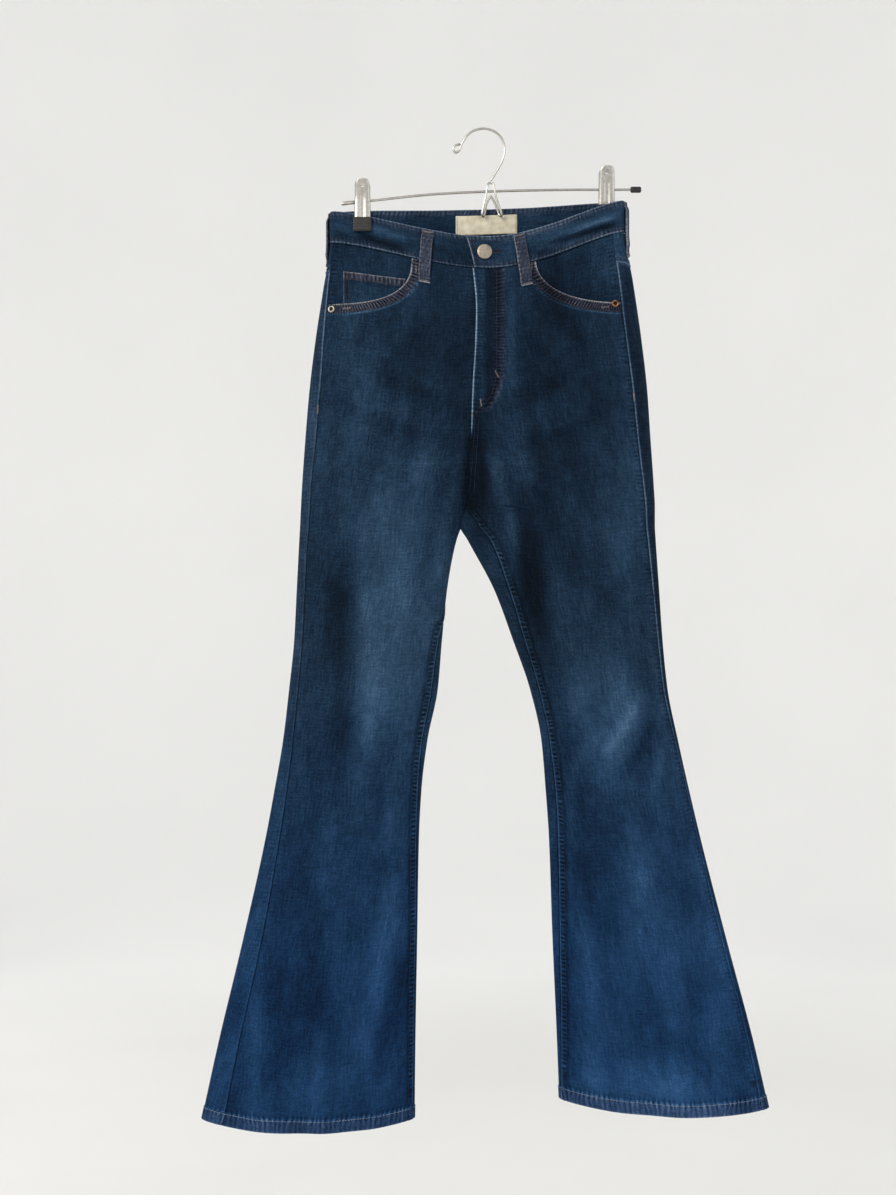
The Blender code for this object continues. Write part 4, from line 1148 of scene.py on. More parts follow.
@dataclass(frozen=True)
class IndigoDenim:
    """Stretch denim: rope-dyed indigo warp over white weft in a 3/1 twill, rinsed and worn.

    The warp's core is white, so wear shows as paler blue, first on sewn edges and whiskers;
    crease ridges are painted lighter and troughs darker, as painted light and painted shade.
    Thick and thin yarn gives fine streaks down the cloth. It is matt, with a faint fuzz of sheen.
    The real twill line is 0.6 mm apart, too fine to show, so it is drawn 2.2 mm apart.
    """

    name: str = "indigo_denim"
    places: tuple[float, ...] = (0.00, 0.13, 0.25, 0.40, 0.52, 0.72, 1.00)
    upper: str = "#030a14 #091726 #122538 #243b52 #354f69 #5d748b #a3afba"
    lower: str = "#020b1b #071d38 #0f2b4b #1d3e64 #2d507a #54749a #9fb1c6"
    abraded: str = "#07080f #11131e #20222e #3b3d4a #5a5c67 #8b8a8c #bdb6ad"
    twill_pitch: float = 2.2
    yarn: float = 1.15
    streak_length: float = 9.0
    weft_length: float = 7.0
    mottle_size: float = 70.0
    pucker_pitch: float = 5.0
    wear_shift: float = 0.0

    def build(self) -> bpy.types.Material:
        """Colour from wear with painted shade and light, streaks and puckers; relief from twill,
        slubs and small creases.
        """
        recipe = Recipe(self.name)
        cloth = recipe.add("Attribute", {}, "Vector", attribute_name="cloth")
        wear_and_shade, edge, pucker, run, grey = (
            recipe.add("Attribute", {}, "Fac", attribute_name=fact)
            for fact in ("wear_and_shade", "edge", "pucker", "run", "grey"))
        # Noises: how far each is stretched across and down, its scale, detail and roughness, and
        # how much it adds to the wear and painted shade about its own mean, as the twill does
        # after them.
        patterns, level = {}, wear_and_shade
        for pattern, stretch, scale, detail, roughness, amount in (
                ("streak", (1 / self.yarn, 1 / self.streak_length, 1.0), 0.5, 3.0, 0.62, 0.33),
                ("weft", (1 / self.weft_length, 1 / self.yarn, 1.0), 0.5, 2.0, 0.6, 0.22),
                ("mottle", None, 1 / self.mottle_size, 3.0, 0.50, 0.24),
                ("cloudy", (1 / 14.0, 1 / 60.0, 1.0), 0.5, 3.0, 0.55, 0.30),
                ("grain", None, 0.55, 2.0, 0.7, 0.42)):
            at = recipe.add("Mapping", {"Vector": cloth, "Scale": stretch}) if stretch else cloth
            patterns[pattern] = amount, recipe.add("TexNoise", {
                "Vector": at, "Scale": scale, "Detail": detail, "Roughness": roughness})
        patterns["twill"] = 0.03, recipe.add("TexWave", {
            "Vector": cloth, "Scale": TURN / (10 * self.twill_pitch * 1.414),
            "Distortion": 1.2, "Detail": 1.0, "Detail Scale": 0.4}, "Fac",
            bands_direction="DIAGONAL")
        for amount, pattern in patterns.values():
            centred = recipe.add("Math", {0: pattern, 1: 0.5}, operation="SUBTRACT")
            level = recipe.add("Math", {0: centred, 1: amount, 2: level},
                               operation="MULTIPLY_ADD")

        # Puckers: a wave along the seam, its phase wandering, in bursts, weighted by how
        # gathered the cloth is.
        wander = recipe.add("TexNoise", {"Vector": cloth, "Scale": 1 / 22.0, "Detail": 2.0})
        phase = recipe.add("Math", {0: run, 1: TURN / self.pucker_pitch}, operation="MULTIPLY")
        phase = recipe.add("Math", {0: wander, 1: 12.0, 2: phase}, operation="MULTIPLY_ADD")
        wave = recipe.add("Math", {0: phase}, operation="SINE")
        burst = recipe.add("TexNoise", {
            "Vector": cloth, "Scale": 1 / 9.0, "Detail": 2.0, "Roughness": 0.6})
        burst = recipe.add("MapRange", {
            "Value": burst, "From Min": 0.38, "From Max": 0.62, "To Min": 0.25, "To Max": 1.35})
        wave = recipe.add("Math", {0: wave, 1: burst}, operation="MULTIPLY")
        gathers = recipe.add("Math", {0: wave, 1: pucker}, operation="MULTIPLY")
        level = recipe.add("Math", {0: gathers, 1: 0.10, 2: level}, operation="MULTIPLY_ADD")
        rubbed = recipe.add("Math", {0: wave, 1: 0.10, 2: 0.80}, operation="MULTIPLY_ADD")
        rubbed = recipe.add("Math", {0: rubbed, 1: edge}, operation="MULTIPLY")
        level = recipe.add("Math", {0: rubbed, 1: 0.95, 2: level}, operation="MULTIPLY_ADD")
        level = recipe.add("Math", {0: level, 1: self.wear_shift}, operation="ADD")

        # The dye reads greyer near the waist and bluer down the legs.
        above, below, grey_dye = (
            recipe.add("ValToRGB", {"Fac": level}, stops=tuple(zip(self.places, codes.split())))
            for codes in (self.upper, self.lower, self.abraded))
        place = recipe.add("TexCoord", {}, "Object")
        height = recipe.add("SeparateXYZ", {0: place}, "Z")
        down = recipe.add("MapRange", {
            "Value": height, "From Min": -0.62, "From Max": -1.0, "To Min": 0.0, "To Max": 1.0})
        dyed = recipe.add("Mix", {0: down, 6: above, 7: below}, 2, data_type="RGBA")
        dyed = recipe.add("Mix", {0: grey, 6: dyed, 7: grey_dye}, 2, data_type="RGBA")

        weave = recipe.add("Math", {0: patterns["twill"][1], 1: 0.35, 2: patterns["streak"][1]},
                           operation="MULTIPLY_ADD")
        weave = recipe.add("Math", {0: patterns["grain"][1], 1: 0.8, 2: weave},
                           operation="MULTIPLY_ADD")
        small = recipe.add("TexNoise", {
            "Vector": cloth, "Scale": 1 / 24.0, "Detail": 3.0, "Roughness": 0.55})
        folds = recipe.add("Math", {0: gathers, 1: 0.22, 2: small}, operation="MULTIPLY_ADD")
        soft = recipe.add("Bump", {"Height": folds, "Strength": 1.0, "Distance": 0.0022})
        bump = recipe.add("Bump", {
            "Height": weave, "Strength": 0.9, "Distance": 0.00035, "Normal": soft})
        return recipe.finish(recipe.add("BsdfPrincipled", {
            "Base Color": dyed, "Roughness": 0.92, "Specular IOR Level": 0.08,
            "Sheen Weight": 0.02, "Sheen Roughness": 0.5, "Sheen Tint": linear("#b9c6d6"),
            "Normal": bump}))


@dataclass(frozen=True)
class CottonThread:
    """Core-spun sewing thread: two plies of polyester wrapped in cotton, dyed and washed.

    The plies' twist shows as a fine slant of light and dark along each stitch, and it is a
    little shinier than the cloth.
    """

    name: str
    light: str
    dark: str

    def build(self) -> bpy.types.Material:
        """Slanting plies and uneven fading."""
        recipe = Recipe(self.name)
        place = recipe.add("TexCoord", {}, "Object")
        ply = recipe.add("TexWave", {"Vector": place, "Scale": 420.0, "Distortion": 2.0}, "Fac",
                         bands_direction="DIAGONAL")
        faded = recipe.add("TexNoise", {"Vector": place, "Scale": 90.0, "Detail": 3.0})
        level = recipe.add("Math", {0: ply, 1: 0.35, 2: faded}, operation="MULTIPLY_ADD")
        colour = recipe.add("ValToRGB", {"Fac": level},
                            stops=((0.30, self.dark), (0.85, self.light)))
        bump = recipe.add("Bump", {"Height": ply, "Strength": 0.5, "Distance": 0.0002})
        return recipe.finish(recipe.add("BsdfPrincipled", {
            "Base Color": colour, "Roughness": 0.75,
            "Specular IOR Level": 0.2, "Normal": bump}))


@dataclass(frozen=True)
class PressedMetal:
    """A small metal part: drawn or pressed, plated, and rubbed in use.

    Plating keeps a soft bright sheen on its high places while tarnish gathers in fine patches,
    so both colour and roughness are blotchy at the scale of a millimetre or two.
    """

    name: str
    bright: str
    tarnish: str
    roughness: float
    tarnished: tuple[float, float] = (0.35, 0.75)
    rough_spread: float = 0.18
    blotch: float = 320.0
    grain: float = 0.00006

    def build(self) -> bpy.types.Material:
        """Plating, tarnish and hairline scratches."""
        recipe = Recipe(self.name)
        place = recipe.add("TexCoord", {}, "Object")
        blotch = recipe.add("TexNoise", {
            "Vector": place, "Scale": self.blotch, "Detail": 5.0, "Roughness": 0.65})
        colour = recipe.add("ValToRGB", {"Fac": blotch},
                            stops=tuple(zip(self.tarnished, (self.tarnish, self.bright))))
        drawn = recipe.add("Mapping", {"Vector": place, "Scale": (60.0, 900.0, 900.0)})
        scratches = recipe.add("TexNoise", {
            "Vector": drawn, "Scale": 1.0, "Detail": 3.0, "Roughness": 0.7})
        rough = recipe.add("MapRange", {
            "Value": scratches, "From Min": 0.3, "From Max": 0.7,
            "To Min": self.roughness, "To Max": self.roughness + self.rough_spread})
        bump = recipe.add("Bump", {
            "Height": scratches, "Strength": 0.6, "Distance": self.grain})
        return recipe.finish(recipe.add("BsdfPrincipled", {
            "Base Color": colour, "Metallic": 1.0, "Roughness": rough,
            "Normal": bump}))


@dataclass(frozen=True)
class MouldedRubber:
    """Black PVC, moulded over the jaws: dull, with a faint grain and grey scuffs."""

    name: str = "moulded_black_pvc"

    def build(self) -> bpy.types.Material:
        """Fine grain and scuffs."""
        recipe = Recipe(self.name)
        place = recipe.add("TexCoord", {}, "Object")
        grain = recipe.add("TexNoise", {"Vector": place, "Scale": 1400.0, "Detail": 2.0})
        scuff = recipe.add("TexNoise", {
            "Vector": place, "Scale": 120.0, "Detail": 6.0, "Roughness": 0.75})
        colour = recipe.add("ValToRGB", {"Fac": scuff},
                            stops=((0.45, "#121213"), (0.62, "#1b1b1c"), (0.78, "#38373a")))
        bump = recipe.add("Bump", {"Height": grain, "Strength": 0.5, "Distance": 0.0001})
        return recipe.finish(recipe.add("BsdfPrincipled", {
            "Base Color": colour, "Roughness": 0.55, "IOR": 1.52,
            "Normal": bump}))


@dataclass(frozen=True)
class WovenSatin:
    """A polyester satin label: long floats give it a soft shine across its fine ribs.

    The real ribs are 0.25 mm apart; they are drawn 0.8 mm apart so that they show.
    """

    name: str = "woven_satin_label"
    rib: float = 0.8

    def build(self) -> bpy.types.Material:
        """Ribs down the label and a little washing-out."""
        recipe = Recipe(self.name)
        cloth = recipe.add("Attribute", {}, "Vector", attribute_name="cloth")
        ribs = recipe.add("TexWave", {
            "Vector": cloth, "Scale": TURN / (20 * self.rib), "Distortion": 0.6}, "Fac",
            bands_direction="Y")
        washed = recipe.add("TexNoise", {
            "Vector": cloth, "Scale": 1 / 12.0, "Detail": 4.0, "Roughness": 0.6})
        level = recipe.add("Math", {0: ribs, 1: 0.16, 2: washed}, operation="MULTIPLY_ADD")
        colour = recipe.add("ValToRGB", {"Fac": level},
                            stops=((0.32, "#a79d86"), (0.55, "#c6bda6"), (0.75, "#d8d1bf")))
        bump = recipe.add("Bump", {"Height": ribs, "Strength": 0.5, "Distance": 0.00012})
        return recipe.finish(recipe.add("BsdfPrincipled", {
            "Base Color": colour, "Roughness": 0.48, "IOR": 1.55,
            "Sheen Weight": 0.25, "Normal": bump}))


@dataclass(frozen=True)
class ZipTape:
    """Woven polyester herringbone tape, black-navy and matt; its ribs are drawn 1.6 mm apart."""

    name: str = "woven_zip_tape"

    def build(self) -> bpy.types.Material:
        """Herringbone ribs."""
        recipe = Recipe(self.name)
        place = recipe.add("TexCoord", {}, "Object")
        ribs = recipe.add("TexWave", {"Vector": place, "Scale": 200.0, "Distortion": 0.4}, "Fac",
                          bands_direction="DIAGONAL")
        colour = recipe.add("ValToRGB", {"Fac": ribs}, stops=((0.2, "#0b0f1a"), (0.8, "#182031")))
        bump = recipe.add("Bump", {"Height": ribs, "Strength": 0.6, "Distance": 0.0002})
        return recipe.finish(recipe.add("BsdfPrincipled", {
            "Base Color": colour, "Roughness": 0.82, "IOR": 1.5,
            "Normal": bump}))


@dataclass(frozen=True)
class PaintedPlaster:
    """Matt emulsion on plaster, washed with light that grows with distance so it reads even."""

    name: str = "painted_plaster"
    light: str = "#e3e3e2"
    dark: str = "#dfdfde"

    def build(self) -> bpy.types.Material:
        """Stipple and slow unevenness."""
        recipe = Recipe(self.name)
        place = recipe.add("TexCoord", {}, "Object")
        slow = recipe.add("TexNoise", {"Vector": place, "Scale": 1.3, "Detail": 3.0})
        stipple = recipe.add("TexNoise", {"Vector": place, "Scale": 260.0, "Detail": 2.0})
        colour = recipe.add("ValToRGB", {"Fac": slow},
                            stops=((0.3, self.dark), (0.7, self.light)))
        bump = recipe.add("Bump", {"Height": stipple, "Strength": 0.15, "Distance": 0.0003})
        reach = recipe.add("VectorMath", {0: place}, "Value", operation="LENGTH")
        glow = recipe.add("MapRange", {
            "Value": reach, "From Min": 3.0, "From Max": 4.75, "To Min": 0.0, "To Max": 0.235},
            interpolation_type="SMOOTHSTEP")
        return recipe.finish(recipe.add("BsdfPrincipled", {
            "Base Color": colour, "Roughness": 0.94, "Specular IOR Level": 0.1,
            "Emission Color": linear("#efeff0"), "Emission Strength": glow, "Normal": bump}))


def all_finishes() -> dict[str, bpy.types.Material]:
    """Every finish of the jeans, the hanger and the studio, by its slot or its thread."""
    made = {
        "denim": IndigoDenim(),
        "denim_trim": IndigoDenim("indigo_denim_trim", wear_shift=0.02),
        "pale_thread": CottonThread("pale_thread", "#8c98a4", "#46566a"),
        "blue_thread": CottonThread("faded_blue_thread", "#7d8ea0", "#3b536f"),
        "brown_thread": CottonThread("brown_thread", "#443a3b", "#17151b"),
        "tack_thread": CottonThread("bar_tack_thread", "#a69a96", "#4a4040"),
        "navy_thread": CottonThread("navy_thread", "#22334a", "#0a121f"),
        "steel": PressedMetal("nickel_plated_steel", "#c3c0ba", "#a3a09a", 0.26, (0.25, 0.6)),
        "nickel": PressedMetal("aged_nickel", "#b4aa9c", "#8f8678", 0.40),
        "copper": PressedMetal("aged_copper", "#b98a6c", "#5d4334", 0.38),
        "silver": PressedMetal("aged_silver", "#c4c0b8", "#77736c", 0.34),
        # A dark metal for the domes in the rivets' hollows: painted shade.
        "bronze": PressedMetal("rivet_hollow_shade_metal", "#4a3d34", "#1f1916", 0.5),
        "rubber": MouldedRubber(),
        "label": WovenSatin(),
        "zip_tape": ZipTape(),
        "plaster": PaintedPlaster(),
    }
    return {name: finish.build() for name, finish in made.items()}


# ------------------------------------------------------------------ leg panels

def edged(middle: int) -> Array:
    """Shares across a panel: even in the middle, with fine steps at both edges."""
    fine = np.array([0.0, 0.0022, 0.0055, 0.011])
    return np.concatenate([fine, np.linspace(0.02, 0.98, middle), 1.0 - fine[::-1]])


def seam_pucker(distance: Array, reach: float) -> Array:
    """How gathered the cloth is at a distance from a seam: 1 at 3 mm, fading past it."""
    return smoothstep(distance / 3.0) * bell(np.maximum(distance - 3.0, 0.0) / reach)


@dataclass
class LegPanels(Maker):
    """Front, back and yoke of one side, cut from denim and sewn edge to edge."""

    side: str
    front_columns: int = 74
    back_columns: int = 92
    row_step: float = 3.3
    mouth_blend_ends: float = -262.0
    fell_width: float = 8.0
    under_band: float = 2.2

    def leg_rows(self, top: float) -> Array:
        """Nominal heights of rows from a top line to the hem, fine at both ends.

        Args:
            top: The nominal height of the first row.

        Returns:
            Nominal heights, top first.
        """
        hem, even_top = HALVES[self.side].hem, top - 5.0
        even_foot = hem + 22.0
        middle = np.linspace(even_top, even_foot, int((even_top - hem - 22.0) / self.row_step))
        foot = np.array([19.0, 17.2, 16.0, 15.2, 14.4, 12.5, 9.5, 6.5, 4.0, 2.2, 1.0, 0.35, 0.0])
        return np.concatenate([top - np.array([0.0, 0.5, 1.2, 2.4]), middle, hem + foot])

    def hem_finish(self, grid: ClothGrid, height: Array) -> Array:
        """Turns up the hem: a lifted band, a thicker wall, gathers and a rubbed edge.

        Args:
            grid: The panel, which is changed.
            height: Its nominal heights.

        Returns:
            The wall's thickness, in mm.
        """
        above = height - HALVES[self.side].hem
        band = smoothstep((FORM.hem_depth + 0.8 - above) / 1.8)
        grid.rise(0.7 * band)
        across = grid.runs()[0]
        turn = smoothstep((34.0 - above) / 12.0)
        grid.run = grid.run * (1 - turn) + (0.85 * across + 0.12 * above) * turn
        grid.pucker = grid.pucker * (1 - turn)
        grid.gather(1.1 * (bell((above - FORM.hem_depth) / 5.0) + 0.6 * band) * turn)
        grid.rub(0.14 * bell((above - FORM.hem_depth - 0.5) / 1.4), 0.30 * bell(above / 1.2))
        grid.wear_and_shade = grid.wear_and_shade + 0.07 * band - 0.06 * bell((above - FORM.hem_depth - 3.0) / 2.0)
        grid.abrade(0.25 * band)
        return FORM.denim + 1.7 * band

    def front(self) -> tuple[ClothGrid, Array]:
        """The front and its nominal heights, from the pocket mouth and the waistband down.

        Rows near the top are blends from that edge down to an even row at mouth_blend_ends.
        """
        half, low = HALVES[self.side], self.mouth_blend_ends
        share = edged(self.front_columns)
        top_x, top_height = POCKETS[self.side].panel_edge(share)
        rows = self.leg_rows(low)
        start = half.moved(half.side_seam(rows), rows, FORM.seam_gap / 2)[:, None]
        end = half.moved(half.front_edge(rows), rows, -FORM.seam_gap / 2)[:, None]
        body_angle = start + (end - start) * share
        down = np.append([0.0, 0.006, 0.016, 0.03], np.linspace(0.055, 1.0, 32)[:-1])[:, None]
        cap_height = top_height * (1 - down) + low * down
        low_x = half.point(body_angle[0], np.full(len(share), low))[:, 0]
        cap_x = self.cap_places(cap_height, top_x * (1 - down) + low_x * down)
        angle = np.concatenate([half.angle_of_x(cap_x, cap_height, Face.FRONT), body_angle])
        height = np.concatenate([cap_height, np.broadcast_to(rows[:, None], body_angle.shape)])
        surface = half.line(angle, height)
        grid = ClothGrid(surface, (half.grain(angle, height, Face.FRONT), -height),
                         wear_and_shade_at(surface[0], np.sin(angle) >= 0))
        self.front_seams(grid, height)
        return grid, height

    def cap_places(self, height: Array, x: Array) -> Array:
        """Holds the blended rows' places along X inside the side seam and the centre.

        Args:
            height: Nominal heights.
            x: Places along X.

        Returns:
            Places along X.
        """
        half = HALVES[self.side]
        outer, inner = half.folds(height)
        side = outer - half.sign * (half.read("side_seam", height) + 0.15)
        centre = inner + half.sign * 0.15
        share = np.linspace(0.0, 1.0, x.shape[1])
        x = x + (side - x)[:, :1] * (1.0 - share) ** 8 + (centre - x)[:, -1:] * share**8
        return np.clip(x, np.minimum(side, centre), np.maximum(side, centre))

    def front_seams(self, grid: ClothGrid, height: Array) -> None:
        """Seam grooves, gathers and rubbed edges of the front, and the felled inseam band.

        Args:
            grid: The panel, which is changed.
            height: Nominal heights.
        """
        from_side = grid.runs()[0]
        from_inner = from_side[:, -1:] - from_side
        below_crotch = smoothstep((FORM.crotch + 8.0 - height) / 30.0)
        # Felled band: lifted cloth beside the inseam, with the sewn line sunk at its far edge.
        fell = smoothstep((self.fell_width - from_inner) / 1.6) * below_crotch
        grid.rise(0.55 * fell - 0.35 * bell((from_inner - self.fell_width) / 1.6) * below_crotch)
        grid.rise(-0.6 * bell(from_side / 2.0))
        pale, gathered = (0.05, 0.75) if self.side == "left" else (0.0, 0.2)
        grid.wear_and_shade = (grid.wear_and_shade - 0.20 * bell(from_side / 0.9) - 0.05 * fell
                     - 0.10 * bell((from_inner - self.fell_width - 1.0) / 2.0) * below_crotch
                     + pale * bell((from_side - 7.0) / 8.0))
        grid.run = -height
        grid.gather(gathered * seam_pucker(from_side, 5.0),
                    1.6 * fell * smoothstep((from_inner - 1.6) / 1.2)
                    + 0.5 * seam_pucker(from_inner, 8.0) * (1 - below_crotch))
        grid.rub(0.34 * below_crotch * bell((from_inner - 0.9) / 0.9))
        POCKETS[self.side].dress(grid, height)

    def back_grid(self, height: Array, share: Array) -> ClothGrid:
        """The back surface from its inner edge to the side seam, its grain down the middle.

        Args:
            height: Nominal heights.
            share: Shares of the way across.

        Returns:
            The cloth.
        """
        half = HALVES[self.side]
        start = half.moved(half.back_edge(height), height, FORM.seam_gap / 2)
        end = half.moved(half.side_seam(height), height, -FORM.seam_gap / 2)
        angle = start + (end - start) * share[None, :]
        surface = half.line(angle, height)
        return ClothGrid(surface, (half.grain(angle, height, Face.BACK) + 900.0, -height),
                         wear_and_shade_at(surface[0], np.sin(angle) >= 0))

    def back(self) -> tuple[ClothGrid, Array]:
        """The back, round the outer fold to the side seam on the front, and its heights."""
        share = edged(self.back_columns)
        rows = self.leg_rows(FORM.panel_top)
        top = BACK.yoke_seam(share) - FORM.seam_gap
        slide = np.clip((rows - FORM.crotch) / (rows[0] - FORM.crotch), 0.0, 1.0)
        height = rows[:, None] + (top - rows[0])[None, :] * slide[:, None]
        grid = self.back_grid(height, share)
        from_inner, down = grid.runs()
        from_side = from_inner[:, -1:] - from_inner
        grid.rise(-0.5 * bell(from_side / 2.0) - 0.4 * bell(from_inner / 2.0))
        grid.run = -height
        grid.gather(0.25 * seam_pucker(from_side, 8.0), 0.3 * seam_pucker(from_inner, 6.0))
        on_front = bell(np.maximum(from_side - 6.0, 0.0) / 14.0)
        # light, and painted shade on the left side's strip.
        # shade: painted light on the right side's strip that wraps onto the front, facing the key
        shade, pale = 0.04, 0.14 + 0.30 * smoothstep((height + 330.0) / 50.0)
        if self.side == "left":
            shade, pale = -0.07, 0.30 + 0.26 * smoothstep((height + 760.0) / 120.0)
        grid.wear_and_shade = grid.wear_and_shade - 0.12 * bell(from_inner / 1.2) + shade * on_front
        grid.abrade(0.12 * on_front * smoothstep((height + 760.0) / 200.0))
        grid.rub(pale * bell((from_side - 0.7) / 0.9), 0.22 * bell((down - 0.8) / 1.2))
        return grid, height

    def yoke(self) -> ClothGrid:
        """The wedge between the waistband and the back."""
        share = edged(self.back_columns)
        down = np.concatenate([[0.0, 0.02, 0.05], np.linspace(0.1, 0.9, 14), [0.95, 0.98, 1.0]])
        top, foot = FORM.panel_top + self.under_band, BACK.yoke_seam(share)
        grid = self.back_grid(top + (foot - top)[None, :] * down[:, None], share)
        across, run_down = grid.runs()
        from_foot = run_down[-1:] - run_down
        fell = smoothstep((7.0 - from_foot) / 1.5)
        grid.rise(0.5 * fell - 0.5 * bell((across[:, -1:] - across) / 2.0)
                  - 1.1 * smoothstep((self.under_band + 1.0 - run_down) / 1.5))
        grid.run = across
        grid.gather(0.7 * seam_pucker(from_foot, 6.0), 0.7 * seam_pucker(run_down, 6.0))
        grid.rub(0.45 * bell((from_foot - 0.8) / 1.2), 0.2 * bell((from_foot - 7) / 1.5))
        return grid

    def build(self) -> None:
        """Makes the front, the back and the yoke."""
        front, height = self.front()
        front_wall = self.hem_finish(front, height)
        FLY.dress(front, height, self.side)
        back, height = self.back()
        back_wall = self.hem_finish(back, height)
        for name, grid, wall, softened, held_by in (
                ("front", front, front_wall, (1.1, 1.5), "waistband"),
                ("back", back, back_wall, (0.9, 1.3), f"yoke_{self.side}"),
                ("yoke", self.yoke(), FORM.denim, (0.8, 1.2), "waistband")):
            grid.soften_rim(*softened)
            self.sew(f"{name}_{self.side}", "denim", grid, wall, name, held_by)


# ------------------------------------------------------------------ pockets

@dataclass(frozen=True)
class PocketMouth:
    """A curved front pocket mouth, a quarter of a superellipse, and what shows inside it."""

    side: str
    corner: float
    reach: float
    drop: float
    power: float
    top: float
    facing_inner: float
    rivet: tuple[float, float]
    band: float = 11.5
    shapes_above: float = -285.0

    def curve(self, inset: float, count: int, start: float = 0.0, end: float = 1.0) -> Array:
        """Points (X, true height) of the mouth's line, moved into the panel by some mm.

        Args:
            inset: How far into the panel.
            count: How many points.
            start: 0 at the waistband.
            end: 1 at the side seam.

        Returns:
            Points, (count, 2).
        """
        turn = np.linspace(start, end, count) * QUARTER
        x = self.corner + self.reach * np.cos(turn) ** (2 / self.power)
        z = self.top - self.drop * np.sin(turn) ** (2 / self.power)
        line = np.stack([x, z], -1)
        way = unit(np.gradient(line, axis=0))
        inward = np.stack([-way[:, 1], way[:, 0]], -1) * np.sign(self.reach)
        return line + inward * inset

    def panel_edge(self, share: Array) -> Line:
        """The front panel's top edge: up the mouth from the side seam, then the waistband.

        Args:
            share: Shares of the edge's whole length, from the side seam to the centre.

        Returns:
            Places along X, and nominal heights.
        """
        half, seam_meets = HALVES[self.side], -205.0
        outer, inset = half.read("outer", seam_meets), half.read("side_seam", seam_meets)
        seam_x = float(outer - half.sign * (inset + 0.15))
        line = self.curve(0.0, 260)[::-1]
        line = line[(line[:, 0] - seam_x) * -half.sign > 0]
        heights = half.nominal(line[:, 0], line[:, 1])
        below = heights < FORM.panel_top
        line, heights = line[below], heights[below]
        centre = float(half.read("inner", FORM.panel_top) + half.sign * 0.15)
        x = np.append(line[:, 0], np.linspace(line[-1, 0], centre, 120))
        height = np.append(heights, np.full(120, FORM.panel_top))
        run = lengths(np.stack([x, height, 0 * x], -1), 0)
        return np.interp(share * run[-1], run, x), np.interp(share * run[-1], run, height)

    def distance(self, points: Array) -> Array:
        """How far into the panel each point lies from the mouth's line, in mm."""
        flat = points[:, None, [0, 2]]
        return np.linalg.norm(flat - self.curve(0.0, 90)[None], axis=-1).min(1)

    def dress(self, grid: ClothGrid, height: Array) -> None:
        """Rubs and gathers the cloth along the mouth, with its folded band a little proud.

        Args:
            grid: The panel, which is changed.
            height: Nominal heights.
        """
        upper = height > self.shapes_above
        away = np.full(height.shape, 99.0)
        away[upper] = self.distance(grid.points[upper])
        band = smoothstep((self.band - away) / 1.5)
        grid.rise(0.45 * band)
        x, z = grid.points[..., 0], grid.points[..., 2]
        grid.pucker = grid.pucker * (1 - bell(away / 9.0))
        grid.gather(1.7 * bell((away - 6.0) / 4.6))
        grid.run = np.where(away < 24.0, np.arctan2(z - (self.top + 20), x - self.corner) * 140.0,
                            grid.run)
        rivet = np.hypot(x - self.rivet[0], z - self.rivet[1])
        grid.wear_and_shade = grid.wear_and_shade + 0.04 * band - 0.10 * bell(rivet / 7.0)
        grid.abrade(0.85 * band)
        grid.rub(0.78 * bell(away / 1.15), 0.32 * bell((away - self.band - 0.8) / 0.9))


POCKETS = {
    "right": PocketMouth("right", -180.0, 96.0, 52.0, 2.6, -153.5, -58.0, (-177.5, -211.5)),
    "left": PocketMouth("left", 157.0, -98.0, 48.0, 2.3, -156.5, 42.0, (152.0, -210.5)),
}


